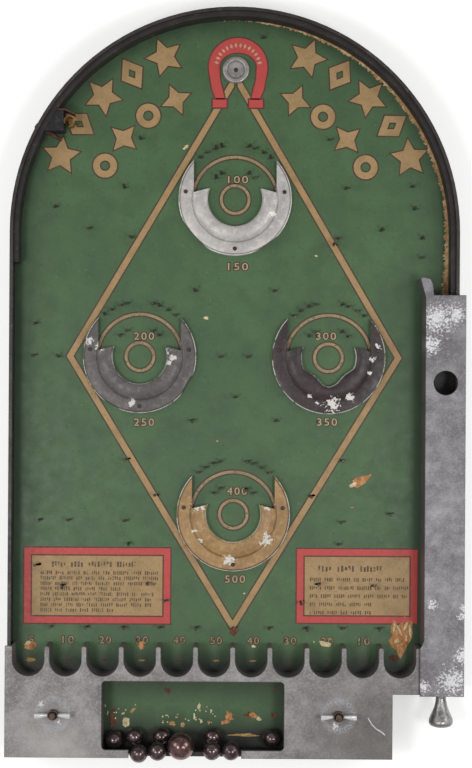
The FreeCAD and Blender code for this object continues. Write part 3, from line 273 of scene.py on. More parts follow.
def end_finish(finish, place, colour, grain, gloss=None, detail=3.0):
    """Give a finish its colour, its grain (width and depth, in millimetres) and, where it is uneven,
    its gloss (the size of its clouds in millimetres, and the roughness of the shiniest and dullest)."""
    tree = finish.node_tree
    sockets = tree.nodes["Principled BSDF"].inputs
    tree.links.new(colour, sockets["Base Color"])
    if gloss:
        size, shiny, dull = gloss
        cloud = add_node(tree, "ShaderNodeTexNoise", {
            "Vector": place, "Scale": noise_scale(size), "Detail": 3.0})
        span = add_node(tree, "ShaderNodeMapRange", {
            "Value": cloud.outputs["Fac"], "From Min": 0.3, "From Max": 0.7,
            "To Min": shiny, "To Max": dull})
        tree.links.new(span.outputs[0], sockets["Roughness"])
    width, depth = grain
    relief = add_node(tree, "ShaderNodeTexNoise", {
        "Vector": place, "Scale": noise_scale(width), "Detail": detail})
    bumps = add_node(tree, "ShaderNodeBump", {
        "Height": relief.outputs["Fac"], "Distance": depth * MM, "Strength": 1.0})
    tree.links.new(bumps.outputs[0], sockets["Normal"])
    return finish


# %% [markdown]
# The playfield is hard fibreboard under green enamel, sprayed flat and now cloudy with handling.
# Along the rim, where no cloth reaches, dirt has gathered and painted shade darkens the board too.
# Painted shade also darkens it beside the lane's wall, in the pockets and along the tray's walls, and
# painted shadow, near black, lies under the resting balls, at the feed hole and along the tray's foot.
# Small tan specks show the board itself. Its underside was never sprayed, so it stays brown. The edges
# of these darker places are given in millimetres from the arch's middle, as pairs: where a shade begins
# and where it is full.

# %% Green enamel of the playfield
# Spots of painted shadow under the resting balls, and of painted shade at the feed hole: place and radius.
BALL_SHADOW_SPOTS = [(-93, -401, 26), (-72, -402, 26), (-47, -404, 27), (-22, -404, 27), (3, -402, 24),
             (33, -401, 20)]
FEED_HOLE = (169, -118, 30)
RIM_SHADE_AND_DIRT, SHADE_AND_DIRT_WOBBLE = (-13, 3), 12
LANE_WALL, LANE_HEAD = (135, 149), (-30, -60)
POCKETS = ((-331, -346), (-357, -353))
TRAY_START, TRAY_BACK, TRAY_LEFT, TRAY_RIGHT = (-357, -359), (-376, -358), (-88, -104), (30, 43)
TRAY_FOOT, FOOT_RIGHT = (-386, -399), (60, 25)


def green_enamel():
    finish, tree, place = start_finish("green_enamel_on_fibreboard", centre=arch)
    colour = mottled(tree, place, "#415F3C", [
        ("#496841", 75, 0.50, 0.14, 1.0),
        ("#365133", 24, 0.56, 0.12, 0.55),
        ("#2A4028", 2.4, 0.64, 0.04, 0.55),
        ("#5E7A56", 3.6, 0.66, 0.05, 0.40),
        ("#A8946A", 3.0, 0.735, 0.012, 1.0)])
    axes = add_node(tree, "ShaderNodeSeparateXYZ", {0: place})
    up_only = add_node(tree, "ShaderNodeMath", {0: axes.outputs["Y"], 1: 0}, operation="MAXIMUM")
    folded = add_node(tree, "ShaderNodeCombineXYZ", {"X": axes.outputs["X"], "Y": up_only.outputs[0]})
    wobble = add_node(tree, "ShaderNodeTexNoise", {"Vector": place, "Scale": noise_scale(16), "Detail": 4})
    out = add_node(tree, "ShaderNodeVectorMath", {0: folded.outputs[0]}, operation="LENGTH")
    reach = add_node(tree, "ShaderNodeMath", {
        0: wobble.outputs["Fac"], 1: SHADE_AND_DIRT_WOBBLE * MM, 2: out.outputs["Value"]}, operation="MULTIPLY_ADD")
    across, along = axes.outputs["X"], axes.outputs["Y"]
    rim_shade_and_dirt = ramp(tree, reach.outputs[0], *(case_radius / MM + edge for edge in RIM_SHADE_AND_DIRT))
    lane_wall_shadow = all_of(tree, ramp(tree, across, *LANE_WALL), ramp(tree, along, *LANE_HEAD))
    by_tray_wall = any_of(tree, ramp(tree, along, *TRAY_BACK), ramp(tree, across, *TRAY_LEFT),
                          ramp(tree, across, *TRAY_RIGHT))
    # Painted shade darkens the tray along its back and side walls.
    tray_wall_shade = all_of(tree, by_tray_wall, ramp(tree, along, *TRAY_START))
    tray_foot_shadow = all_of(tree, ramp(tree, along, *TRAY_FOOT), ramp(tree, across, *FOOT_RIGHT))
    # Dirt and painted shade darken the board along the rim, and a painted shadow lies beside the lane's
    # wall.
    colour = lay_over(tree, colour, "#263A29", any_of(tree, rim_shade_and_dirt, lane_wall_shadow), 0.8)
    # Painted shade darkens the board in the pockets.
    colour = lay_over(tree, colour, "#15190F", band(tree, along, *POCKETS), 0.92)
    colour = lay_over(tree, colour, "#1C2716", tray_wall_shade, 0.6)
    # Painted shadow, near black, under the resting balls and along the tray's foot, and painted shade at
    # the feed hole.
    unlit = any_of(tree, near(tree, place, BALL_SHADOW_SPOTS + [FEED_HOLE]), tray_foot_shadow)
    colour = lay_over(tree, colour, "#0F0E0B", unlit, 0.95)
    bare = lay_over(tree, "#6A4F34", "#4A3725", patches(tree, place, 14, 0.50, 0.15), 0.7)
    colour = lay_over(tree, colour, bare, tilted(tree, *UNDERSIDE))
    return end_finish(finish, place, colour, grain=(1.6, 0.03), gloss=(9, 0.40, 0.58))


# %% [markdown]
# The apron and the lane are sand-cast aluminium, left as cast: grey, grainy, with dark pores and
# with pale oxide where hands and balls rub. The grain is about a millimetre, as from foundry sand.
# Upright walls inside the castings are painted darker, as shade, so a mask leaves out the castings' outer
# walls.
# On the apron a painted sheen lightens the left end, and a darker zone covers the right end.

# %% Cast aluminium
NUT_RUB = ((8, 11), (15.5, 12.5))
CAST_SIDES, CAST_FOOT = ((-175, -172), (178, 175)), (-414, -411)
LANE_INNER, APRON_HEAD = (138, 134), (-372, -368)


def cast_aluminium(name, base, dark, pale, scuffs, nuts=(), zones=()):
    finish, tree, place = start_finish(name, metallic=0.45, centre=arch)
    colour = mottled(tree, place, base, [
        (dark, 60, 0.50, 0.12, 0.8),
        (pale, 22, 0.54, 0.10, 0.6),
        (pale, 1.7, 0.57, 0.08, 0.5),
        (dark, 1.3, 0.58, 0.07, 0.55),
        ("#5B5450", 2.8, 0.69, 0.03, 0.7)])
    # Each zone lays a tone round a place: on the apron a painted sheen at the left end, and a darker tone
    # at the right.
    for x, y, radius, tone in zones:
        colour = lay_over(tree, colour, tone, near(tree, place, [(x, y, radius)]), 0.75)
    worn = patches(tree, place, 1.5, 0.84, 0.06, 8.0, near(tree, place, scuffs), 0.46)
    colour = lay_over(tree, colour, "#E2E2E4", worn, 0.9)
    for x, y in nuts:
        ring = band(tree, distance_to(tree, place, x, y), *NUT_RUB)
        rubbed = all_of(tree, ring, patches(tree, place, 1.4, 0.50, 0.10))
        colour = lay_over(tree, colour, "#B9BAC3", rubbed, 0.5)
    axes = add_node(tree, "ShaderNodeSeparateXYZ", {0: place})
    across, along = axes.outputs["X"], axes.outputs["Y"]
    off_lane_wall = any_of(tree, ramp(tree, across, *LANE_INNER), ramp(tree, along, *APRON_HEAD))
    inside = all_of(tree, band(tree, across, *CAST_SIDES), ramp(tree, along, *CAST_FOOT), off_lane_wall)
    # Painted shade darkens the upright walls inside the castings.
    colour = lay_over(tree, colour, "#4B4742", all_of(tree, tilted(tree, *STEEP), inside), 0.65)
    return end_finish(finish, place, colour, grain=(1.0, 0.06), gloss=(6, 0.44, 0.66), detail=5.0)


# %% [markdown]
# The cups are pressed from thin steel sheet and brushed with paint, one colour each. Paint chips first
# where a ball strikes, so each cup has its own chipped places. Its cut edge is rubbed bright and carries
# a painted highlight, a painted highlight lines the bore's upright wall, and painted shade darkens the
# groove inside the edge and the crease. The groove and the rub are measured from the cup's edge, the
# crease and the bore's wall from the middle.

# %% Painted cups
GROOVE, EDGE_RUB_AND_HIGHLIGHT = ((-1.9, -1.5), (-0.6, -0.9)), (-0.8, -0.4)
CREASE, BORE_WALL = ((33.6, 34.3), (35.1, 34.6)), (27.8, 26.8)


def cup_middle(node_name):
    low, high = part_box(node_name)
    radius = (high.x - low.x) / 2
    return Vector(((low.x + high.x) / 2, low.y + radius, board_top)), radius


def cup_paint(name, node_name, paint, shade, light, bare, chips, metallic=0.0, painted_groove_shade="#3A322C"):
    middle, radius = cup_middle(node_name)
    finish, tree, place = start_finish(name, metallic=metallic, centre=middle)
    colour = mottled(tree, place, paint, [
        (shade, 12, 0.50, 0.12, 0.7),
        (light, 4, 0.58, 0.08, 0.6),
        (shade, 1.4, 0.63, 0.05, 0.8)])
    away, edge_at = distance_to(tree, place, 0, 0), radius / MM
    # Painted shade darkens the groove inside the edge and, more lightly, the crease.
    colour = lay_over(tree, colour, painted_groove_shade, band(tree, away, *GROOVE, start=edge_at), 0.85)
    colour = lay_over(tree, colour, painted_groove_shade, band(tree, away, *CREASE), 0.5)
    # The cut edge is rubbed bare and painted with a highlight, and the bore's upright wall gets a painted
    # highlight, both in broken patches of the bare colour.
    bore_wall = all_of(tree, tilted(tree, *STEEP), ramp(tree, away, *BORE_WALL))
    rim = any_of(tree, ramp(tree, away, *(edge_at + inset for inset in EDGE_RUB_AND_HIGHLIGHT)), bore_wall)
    edge = all_of(tree, rim, patches(tree, place, 7, 0.46, 0.05))
    chipped = patches(tree, place, 2.6, 0.80, 0.02, 4.0, near(tree, place, chips), 0.46)
    colour = lay_over(tree, colour, bare, any_of(tree, edge, chipped))
    return end_finish(finish, place, colour, grain=(5, 0.25), gloss=(5, 0.34, 0.55), detail=2.0)


# %% [markdown]
# The small steel pieces have plain finishes: plating that has dulled, rust that has bloomed, brass that
# has browned. One function makes them, from three tones and how much of each shows.

# %% Small metal, rubber and wood


def aged_metal(name, base, dark, bloom, metallic, rough, grain=2.0, spread=0.56, depth=0.03):
    finish, tree, place = start_finish(name, metallic=metallic)
    colour = mottled(tree, place, base, [
        (dark, grain * 3, 0.50, 0.10, 0.8),
        (bloom, grain, spread, 0.04, 0.8)])
    return end_finish(finish, place, colour, grain=(grain, depth),
                      gloss=(grain * 2, rough - 0.1, rough + 0.15))


def black_fibre():
    """Vulcanised fibre, black right through: dull and finely grained, with brown flecks."""
    finish, tree, place = start_finish("black_vulcanised_fibre", centre=arch)
    colour = mottled(tree, place, "#221E1D", [
        ("#332E2C", 18, 0.52, 0.1, 0.7),
        ("#4F463D", 5, 0.66, 0.03, 0.8)])
    return end_finish(finish, place, colour, grain=(1.2, 0.06), gloss=(6, 0.5, 0.75))


def black_enamel():
    """Stoved black enamel on steel strip: worn through to grey in upright streaks."""
    finish, tree, place = start_finish("black_enamel_on_steel", centre=arch)
    colour = lay_over(tree, "#2A2523", "#3D3733", patches(tree, place, 30, 0.50, 0.12), 0.8)
    rubbed = patches(tree, place, 4, 0.62, 0.04, stretch=(1, 1, 0.3))
    colour = lay_over(tree, colour, "#4E4843", rubbed, 0.7)
    colour = lay_over(tree, colour, "#6E5A45", patches(tree, place, 2.6, 0.70, 0.02), 0.7)
    return end_finish(finish, place, colour, grain=(2.2, 0.05), gloss=(8, 0.34, 0.55))


def soft_wood():
    """Sawn pine: long grain, so the noise is stretched along the batten."""
    finish, tree, place = start_finish("sawn_pine", roughness=0.7)
    grain = patches(tree, place, 3, 0.5, 0.15, 5.0, stretch=(0.06, 1, 1))
    colour = lay_over(tree, "#B48F62", "#8C6A43", grain, 0.8)
    colour = lay_over(tree, colour, "#5E4630", patches(tree, place, 30, 0.62, 0.08), 0.5)
    return end_finish(finish, place, colour, grain=(1.2, 0.06))


def dark_rubber(name, base, dust):
    """Moulded rubber gone hard: matt, with pale dust in its pores."""
    finish, tree, place = start_finish(name, roughness=0.75)
    colour = lay_over(tree, base, dust, patches(tree, place, 3.0, 0.58, 0.06), 0.6)
    return end_finish(finish, place, colour, grain=(1.0, 0.08))


# %% [markdown]
# The balls are old bearing steel gone brown: dark and pitted, still shiny where they roll. The large
# ball is rustier. Each pit is under a millimetre, drawn a little coarser so that it shows.

# %% Ball steel


def ball_steel(name, base, rust, shine):
    finish, tree, place = start_finish(name, metallic=0.85)
    colour = mottled(tree, place, base, [
        (rust, 4.5, 0.50, 0.09, 0.85),
        (shine, 2.2, 0.64, 0.05, 0.7),
        ("#1D1715", 1.3, 0.66, 0.04, 0.8)])
    return end_finish(finish, place, colour, grain=(1.2, 0.015), gloss=(2, 0.17, 0.27))


# %% [markdown]
# Every node of the frame still wears the plain material that it was packed with, named for its slot.
# A table gives each slot its finish, and the nodes change over one by one.

# %% Dress the frame
GREY_CHIPS = [(-40, 12, 7), (-31, 8, 8), (21, 4, 7), (27, -1, 6), (23, -5, 5), (-6, -37, 7)]
MAROON_CHIPS = [(3, -37, 13), (17, -31, 8), (-15, -31, 4), (-9, -36, 4), (39, 9, 5), (35, -1, 5),
                (33, -12, 4)]
GOLD_CHIPS = [(-3, -36, 10), (26, -20, 10), (-31, -13, 4), (-26, -21, 4), (-27, 9, 12), (27, 10, 11)]
SILVER_CHIPS = [(30, -12, 5), (-24, 9, 5)]
LANE_SCUFFS = [(159, -68, 27), (174, -64, 18), (154, -88, 18), (172, -352, 26), (181, -332, 18),
               (156, -292, 9), (150, -356, 11), (181, -294, 7), (163, -372, 18), (179, -300, 8)]
# A painted sheen at the apron's left end and a darker zone at its right end: place, radius and tone.
APRON_ZONES = [(-138, -406, 45, "#B4B0AE"), (110, -400, 75, "#625E5B")]
NUT_PLACES = [(-140.1, -379.6), (83.4, -379.6)]
APRON_SCUFFS = [(-150, -372, 6), (81, -388, 7), (-136, -386, 5)]

finishes = {
    "board_green": green_enamel(),
    "rim_black": black_enamel(),
    "liner_black": black_fibre(),
    "apron_aluminium": cast_aluminium("cast_aluminium", "#8F8C8A", "#706D6B", "#AFACAA", APRON_SCUFFS,
                                      NUT_PLACES, APRON_ZONES),
    "lane_aluminium": cast_aluminium("cast_aluminium_lane", "#858285", "#686568", "#9F9C9F", LANE_SCUFFS),
    "knob_aluminium": aged_metal("turned_aluminium", "#9B9A98", "#7F7E7C", "#B4B2AF", 0.75, 0.36, 3.0),
    "steel": aged_metal("dull_plated_steel", "#8C8984", "#5F5B56", "#6B4A3C", 0.85, 0.42, 1.5, 0.62),
    "spring_steel": aged_metal("spring_steel", "#6E6C6A", "#46413D", "#7A5238", 0.9, 0.35, 1.0, 0.62),
    "nail_steel": aged_metal("nail_steel", "#4C4743", "#2E2A28", "#6B4A3C", 0.7, 0.45, 0.8, 0.6),
    "pin_steel": aged_metal("pin_steel", "#4F4840", "#2C2824", "#6E5136", 0.7, 0.40, 0.8, 0.6),
    "rusty_steel": aged_metal("rusty_steel", "#523A30", "#30231D", "#7A4C34", 0.35, 0.70, 1.4, 0.55, 0.12),
    "clip_steel": aged_metal("clip_steel", "#8D8A84", "#5E5A55", "#6B4A3C", 0.85, 0.40, 1.6, 0.62),
    "brass": aged_metal("browned_brass", "#B08A4A", "#6E5229", "#D0B070", 0.9, 0.35, 1.2, 0.60),
    "tip_rubber": dark_rubber("tip_rubber", "#3A2E2A", "#5E5048"),
    "block_rubber": dark_rubber("block_rubber", "#17171A", "#3A3836"),
    "cup_silver": cup_paint("silver_paint_on_steel", "cup_upper", "#C4BFBB", "#A9A4A1", "#D8D3CF",
                            "#EDEAE6", SILVER_CHIPS, 0.25, "#6E6A66"),
    "cup_grey": cup_paint("grey_paint_on_steel", "cup_left", "#625D5B", "#4C4745", "#77716E",
                          "#D5D2CD", GREY_CHIPS),
    "cup_maroon": cup_paint("maroon_paint_on_steel", "cup_right", "#37292A", "#261C1D", "#4B3A3B",
                            "#E0DDD8", MAROON_CHIPS),
    "cup_gold": cup_paint("gold_paint_on_steel", "cup_lower", "#A88557", "#8B6A42", "#C09B68",
                          "#DAD5CB", GOLD_CHIPS),
    "target_tin": aged_metal("target_tin", "#A3A09D", "#8B8885", "#B4B1AE", 0.6, 0.42, 5.0, 0.60, 0.01),
    "wing_nut_plate": aged_metal("wing_nut_plate", "#D2D2D0", "#AEAEAC", "#8F8C86", 0.85, 0.30, 2.0, 0.62),
    "ball_steel": ball_steel("browned_ball_steel", "#706263", "#4C3C3B", "#988B8A"),
    "large_ball_steel": ball_steel("rusty_ball_steel", "#846B69", "#5E4542", "#AA938C"),
    "batten_wood": soft_wood(),
}
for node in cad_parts.values():
    for slot in node.material_slots:
        slot.material = finishes[slot.material.name]
print("finishes:", len(finishes))

# %% [markdown]
# The lines, numbers and panels were printed in thick ink through a screen. Each print is a flat curve,
# because a curve with several outlines fills the space between them, and it is then made a mesh as
# thin as the ink. A print on another print lies one ink's thickness higher.

# %% Ink
INK = 0.05
TAN, BROWN, RED = "#A98A5E", "#432D1D", "#BE4640"
KEYLINE = 1.15


def ink_finish(name, colour, dirt, wear, under="#456044"):
    """Screen ink, a little matt: dirty in clouds, and rubbed back to what is under it in places."""
    finish, tree, place = start_finish(name, centre=arch)
    shade = mottled(tree, place, colour, [
        (dirt, 14, 0.54, 0.10, 0.5),
        (dirt, 2.0, 0.60, 0.05, 0.6),
        (under, 2.8, wear, 0.02, 0.9)])
    return end_finish(finish, place, shade, grain=(1.4, 0.02), gloss=(4, 0.42, 0.62))


tan_ink = ink_finish("tan_screen_ink", TAN, "#8A7148", 0.70)
pale_tan_ink = ink_finish("pale_tan_screen_ink", "#B9A67E", "#8F7C58", 0.66)
worn_tan_ink = ink_finish("worn_tan_screen_ink", "#A08862", "#7A6846", 0.55)
marks_ink = ink_finish("greyed_screen_ink", "#A08A66", "#6F644A", 0.60)
brown_ink = ink_finish("brown_screen_ink", BROWN, "#5A4A33", 0.66)
faded_ink = ink_finish("faded_brown_screen_ink", "#4A3C2C", "#6A583E", 0.60, TAN)
red_ink = ink_finish("red_screen_ink", RED, "#AF423D", 0.74)
maroon_ink = ink_finish("maroon_screen_ink", "#5A2A28", "#6E3A30", 0.74)
pale_ink = ink_finish("pale_screen_ink", "#C9A088", "#B08070", 0.70, RED)


def pick(piece):
    """Select one piece alone, because an operator acts on all that is selected."""
    bpy.ops.object.select_all(action="DESELECT")
    piece.select_set(True)
    bpy.context.view_layer.objects.active = piece


def finish_piece(piece, material, body="case"):
    """Bake the place into the mesh, dress the piece and let it ride."""
    pick(piece)
    bpy.ops.object.transform_apply(location=True, rotation=True, scale=True)
    piece.data.materials.clear()
    piece.data.materials.append(material)
    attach(piece, body)
    piece.select_set(False)
    return piece


def as_mesh(name, data):
    """Text or a curve, put into the scene and made a mesh."""
    piece = bpy.data.objects.new(name, data)
    bpy.context.collection.objects.link(piece)
    pick(piece)
    bpy.ops.object.convert(target="MESH")
    return bpy.context.object


def flat_print(name, outlines, ink, layer=0, rise=0.0):
    """Print closed outlines, given in millimetres from the arch's middle, in one ink."""
    curve = bpy.data.curves.new(name, "CURVE")
    curve.dimensions = "2D"
    curve.fill_mode = "BOTH"
    curve.extrude = INK * MM / 2
    for outline in outlines:
        spline = curve.splines.new("POLY")
        spline.points.add(len(outline) - 1)
        for point, (x, y) in zip(spline.points, outline):
            point.co = (x * MM, y * MM, 0, 1)
        spline.use_cyclic_u = True
    piece = as_mesh(name, curve)
    piece.location = at(0, 0, rise + INK * (layer + 0.5))
    return finish_piece(piece, ink)


def round_outline(x, y, radius, start=0.0, end=360.0, steps=64, squeeze=1.0):
    """Points on a circle or on a part of it; a full circle doesn't repeat its first point."""
    count = steps if abs(end - start) >= 360 else steps + 1
    turns = [math.radians(start + (end - start) * k / steps) for k in range(count)]
    return [(x + radius * math.cos(t), y + radius * squeeze * math.sin(t)) for t in turns]


def band_outline(x, y, radius, width, start, end, steps=40):
    """A curved band: out along its outer side and back along its inner side."""
    outer = round_outline(x, y, radius, start, end, steps)
    inner = round_outline(x, y, radius - width, end, start, steps)
    return outer + inner


def box_outline(left, low, right, high, grow=0.0):
    left, low, right, high = left - grow, low - grow, right + grow, high + grow
    return [(left, low), (right, low), (right, high), (left, high)]


def pushed_out(outline, distance):
    """A closed outline moved outwards by a distance, corner by corner, for the line round a shape."""
    corners = [Vector(corner) for corner in outline]
    turning = sum(a.x * b.y - b.x * a.y for a, b in zip(corners, corners[1:] + corners[:1]))
    side = 1 if turning > 0 else -1
    moved = []
    for k, corner in enumerate(corners):
        into = (corner - corners[k - 1]).normalized()
        on = (corners[(k + 1) % len(corners)] - corner).normalized()
        normal = (Vector((into.y, -into.x)) + Vector((on.y, -on.x))).normalized() * side
        reach = max(normal.dot(Vector((into.y, -into.x)) * side), 0.5)
        moved.append(tuple(corner + normal * (distance / reach)))
    return moved


# %% [markdown]
# A large lozenge runs from the target cup to the pockets and takes all four scoring cups. It is one
# tan line with a dark line on each side. It is open at its top, where its two ends are cut upright
# beside the target cup.

# %% Lozenge line
LOZENGE = [(0.0, 129.8), (-134.0, -98.2), (0.0, -318.2), (134.0, -98.2)]
LINE_WIDTH = 4.7
LINE_GAP = 1.5


def lozenge_path(inset, gap):
    """The lozenge drawn in by a distance, as an open line from its gap at the top and back."""
    top, left, foot, right = (Vector(corner) for corner in LOZENGE)
    corners = []
    for before, corner, after in ((top, left, foot), (left, foot, right), (foot, right, top)):
        back, ahead = (before - corner).normalized(), (after - corner).normalized()
        middle = (back + ahead).normalized()
        corners.append(tuple(corner + middle * (inset / math.sin(back.angle(ahead) / 2))))
    aside = (left - top).normalized()
    start = top + Vector((-aside.y, aside.x)) * inset
    start += aside * ((gap + start.x) / abs(aside.x))
    return [tuple(start)] + corners + [(-start.x, start.y)]


def lozenge_band(grow=0.0):
    return lozenge_path(-grow, LINE_GAP - grow) + lozenge_path(LINE_WIDTH + grow, LINE_GAP - grow)[::-1]


flat_print("print_lozenge_keyline", [lozenge_band(KEYLINE)], brown_ink)
flat_print("print_lozenge", [lozenge_band()], tan_ink, 1)

# %% [markdown]
# Above each cup a tan arch joins the two horns, and a small ring marks the middle of the bore. They
# never touch, so all of one colour are one print, as they were on the printer's screen.

# %% Rings and arches of the cups
CUPS = {"upper": (0.0, 27.8), "left": (-75.4, -98.3), "right": (75.4, -98.3), "lower": (0.0, -224.0)}
RING_OUTER, RING_WIDTH = 12.2, 2.2
ARCH_OUTER, ARCH_WIDTH = 35.0, 2.2
ARCH_ENDS = (8, 172)
marks, mark_keylines = [], []
for cup_x, cup_y in CUPS.values():
    marks += [round_outline(cup_x, cup_y, RING_OUTER),
              round_outline(cup_x, cup_y, RING_OUTER - RING_WIDTH),
              band_outline(cup_x, cup_y, ARCH_OUTER, ARCH_WIDTH, *ARCH_ENDS)]
    mark_keylines += [round_outline(cup_x, cup_y, RING_OUTER + KEYLINE),
                      round_outline(cup_x, cup_y, RING_OUTER - RING_WIDTH - KEYLINE),
                      band_outline(cup_x, cup_y, ARCH_OUTER + KEYLINE, ARCH_WIDTH + 2 * KEYLINE,
                                   *ARCH_ENDS)]
flat_print("print_cup_marks_keyline", mark_keylines, brown_ink)
flat_print("print_cup_marks", marks, marks_ink, 1)
print("cup marks:", len(marks))

# %% [markdown]
# Plain numbers give the score of each cup and pocket. The text becomes a mesh and is then stretched to
# the printed size, so no font decides how wide it is. The dark edge is the same text, made bolder.

# %% Numbers
CUP_DIGITS = {"100": (2.2, 43.8), "150": (2.6, -25.8), "200": (-72.2, -81.9), "250": (-71.8, -150.7),
              "300": (73.4, -81.0), "350": (74.6, -149.7), "400": (2.9, -205.4), "500": (1.8, -275.8)}
CUP_DIGIT_SIZE = (16.0, 5.8)
POCKET_DIGITS = ["5", "10", "20", "30", "40", "50", "40", "30", "20", "10", "5"]
POCKET_DIGIT_SIZE = (9.2, 5.8)
FIRST_POCKET, POCKET_STEP, POCKET_DIGIT_Y = -161.0, 29.6, -325.0
ONE_DIGIT_SHARE = 0.45
BOLD, SPACING, FONT_SHARE = 0.8, 1.22, 1.4


def digits(name, text, x, y, size, ink, layer, bolder=0.0):
    """Digits as wide and as high as given, with an optional darker edge round each stroke."""
    drawn = bpy.data.curves.new(name, "FONT")
    drawn.body = text
    drawn.align_x, drawn.align_y = "CENTER", "CENTER"
    drawn.size = size[1] * FONT_SHARE * MM
    drawn.offset = bolder * MM
    drawn.space_character = SPACING
    drawn.extrude = INK * MM / 2
    drawn.resolution_u = 3
    piece = as_mesh(name, drawn)
    spread = [piece.dimensions.x, piece.dimensions.y]
    grow = [(size[k] + 2 * bolder) * MM / spread[k] for k in (0, 1)]
    middle = [sum(corner[k] for corner in piece.bound_box) / 8 for k in (0, 1)]
    piece.scale = (grow[0], grow[1], 1)
    piece.location = at(x - middle[0] * grow[0] / MM, y - middle[1] * grow[1] / MM, INK * (layer + 0.5))
    return finish_piece(piece, ink)


places = [(text, x, y, CUP_DIGIT_SIZE, pale_tan_ink) for text, (x, y) in CUP_DIGITS.items()]
for k, text in enumerate(POCKET_DIGITS):
    width = POCKET_DIGIT_SIZE[0] * (1 if len(text) == 2 else ONE_DIGIT_SHARE)
    places.append((text, FIRST_POCKET + POCKET_STEP * k, POCKET_DIGIT_Y, (width, POCKET_DIGIT_SIZE[1]),
                   worn_tan_ink))
for k, (text, x, y, size, ink) in enumerate(places):
    digits(f"print_digits_{k}_keyline", text, x, y, size, brown_ink, 0, BOLD)
    digits(f"print_digits_{k}", text, x, y, size, ink, 1)
print("numbers:", len(places))

# %% [markdown]
# Each pin gets a painted shadow on the enamel: a short dark oval, wider than high, round its foot. The pins
# are one node of many solids, so their places are read from the feet of its mesh: points that lie close
# together are one pin. A shadow is an oval whose corners move in and out by a seeded random share. The
# shadows are dealt out over three layers, because two outlines of one curve that overlap cut a hole.

# %% Painted shadows of the pins
PIN_SHADOW_WIDTH, PIN_SHADOW_HEIGHT, PIN_SHADOW_TURN, PIN_SHADOW_CORNERS = 6.4, 2.2, 12, 11
PIN_SHADOW_LAYERS = 3
PIN_REACH = 2.6


def ragged(x, y, width, height, turn=0, seed=0, corners=15):
    """A broken oval, turned by some degrees."""
    draw = random.Random(seed + 17 * round(abs(x)) + round(abs(y)))
    cos, sin = math.cos(math.radians(turn)), math.sin(math.radians(turn))
    outline = []
    for k in range(corners):
        angle = 2 * math.pi * k / corners
        share = draw.uniform(0.62, 1.18) / 2
        a, b = width * share * math.cos(angle), height * share * math.sin(angle)
        outline.append((x + a * cos - b * sin, y + a * sin + b * cos))
    return outline


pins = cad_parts["playfield_pins"].data.vertices
foot_line = at(0, 0, 1).z
pin_places = []
for vertex in pins:
    spot = (vertex.co - arch).xy / MM
    if vertex.co.z < foot_line and all((spot - other).length > PIN_REACH for other in pin_places):
        pin_places.append(spot)
pin_shadows = [ragged(spot.x, spot.y, PIN_SHADOW_WIDTH, PIN_SHADOW_HEIGHT, PIN_SHADOW_TURN, k, PIN_SHADOW_CORNERS)
           for k, spot in enumerate(pin_places)]
# A dark green ink for the painted shadows of the pins.
pin_shadow_ink = ink_finish("painted_pin_shadow", "#2C4029", "#24331F", 0.60, "#3A5636")
for k in range(PIN_SHADOW_LAYERS):
    flat_print(f"painted_pin_shadows_{k}", pin_shadows[k::PIN_SHADOW_LAYERS], pin_shadow_ink, k)
print("pins found:", len(pin_places))

# %% [markdown]
# Two panels stand at the foot of the board, a red frame round a tan field. The field holds rows of
# short dark bars, each a tight row of upright strokes. Their lengths are random, but the draw has a
# seed, so that each run gives the same rows.

# %% Panels
PANEL_FRAME = 5.1
PANELS = {
    "left": {"box": (-166.8, -311.7, -50.1, -251.6), "heading": (-264.6, 4.4, 17), "rows": 8,
             "first_row": -271.4, "pitch": 4.27, "margin": 8.0, "seed": 3},
    "right": {"box": (51.3, -310.4, 147.5, -251.4), "heading": (-267.0, 4.8, 12), "rows": 5,
              "first_row": -275.8, "pitch": 6.6, "margin": 5.2, "seed": 8},
}
BAR_HEIGHT, BAR_GAP, STROKE_SHARE = 3.0, 2.4, 0.55
HEADING_BARS, ROW_BARS = (9, 20), (4, 13)
ROW_OVERHANG, SHORTER_BY = 4, 30


def bar_row(draw, left, right, y, height, shortest, longest):
    """Bars of uneven length from left to right, each a tight row of upright strokes."""
    bars = []
    x = left
    while x < right - shortest:
        length = min(draw.uniform(shortest, longest), right - x)
        strokes = max(2, round(length / (height * STROKE_SHARE)))
        pitch = length / strokes
        for k in range(strokes):
            low = y - height * draw.choice((0.5, 0.5, 0.5, 0.25))
            high = y + height * draw.choice((0.5, 0.5, 0.5, 0.3))
            bars.append(box_outline(x + k * pitch, low, x + (k + draw.uniform(0.4, 0.7)) * pitch, high))
        x += length + BAR_GAP * height / BAR_HEIGHT
    return bars


for panel_name, panel in PANELS.items():
    left, low, right, high = panel["box"]
    field = (left + PANEL_FRAME, low + PANEL_FRAME, right - PANEL_FRAME, high - PANEL_FRAME)
    flat_print(f"print_panel_{panel_name}_keyline", [
        box_outline(*panel["box"], KEYLINE), box_outline(*field, -KEYLINE)], maroon_ink)
    flat_print(f"print_panel_{panel_name}_frame", [
        box_outline(*panel["box"]), box_outline(*field)], red_ink, 1)
    flat_print(f"print_panel_{panel_name}_field", [box_outline(*field, -KEYLINE)], tan_ink, 1)
    draw = random.Random(panel["seed"])
    heading_y, heading_height, inset = panel["heading"]
    rows = bar_row(draw, field[0] + inset, field[2] - inset, heading_y, heading_height, *HEADING_BARS)
    for k in range(panel["rows"]):
        margin = panel["margin"]
        short = SHORTER_BY if k in (3, panel["rows"] - 1) else 0
        rows += bar_row(draw, field[0] + margin, field[2] - margin + ROW_OVERHANG - short,
                        panel["first_row"] - k * panel["pitch"], BAR_HEIGHT, *ROW_BARS)
    flat_print(f"print_panel_{panel_name}_bars", rows, faded_ink, 2)
    print("panel", panel_name, "bars:", len(rows))

# %% [markdown]
# Round the head of the board stand two rows of large tan ornaments with a dark line round each: stars
# and lozenges outside, rings and small stars inside. Each is drawn upright, as a body and its holes, and
# turned to its angle.

# %% Ornaments of the arch


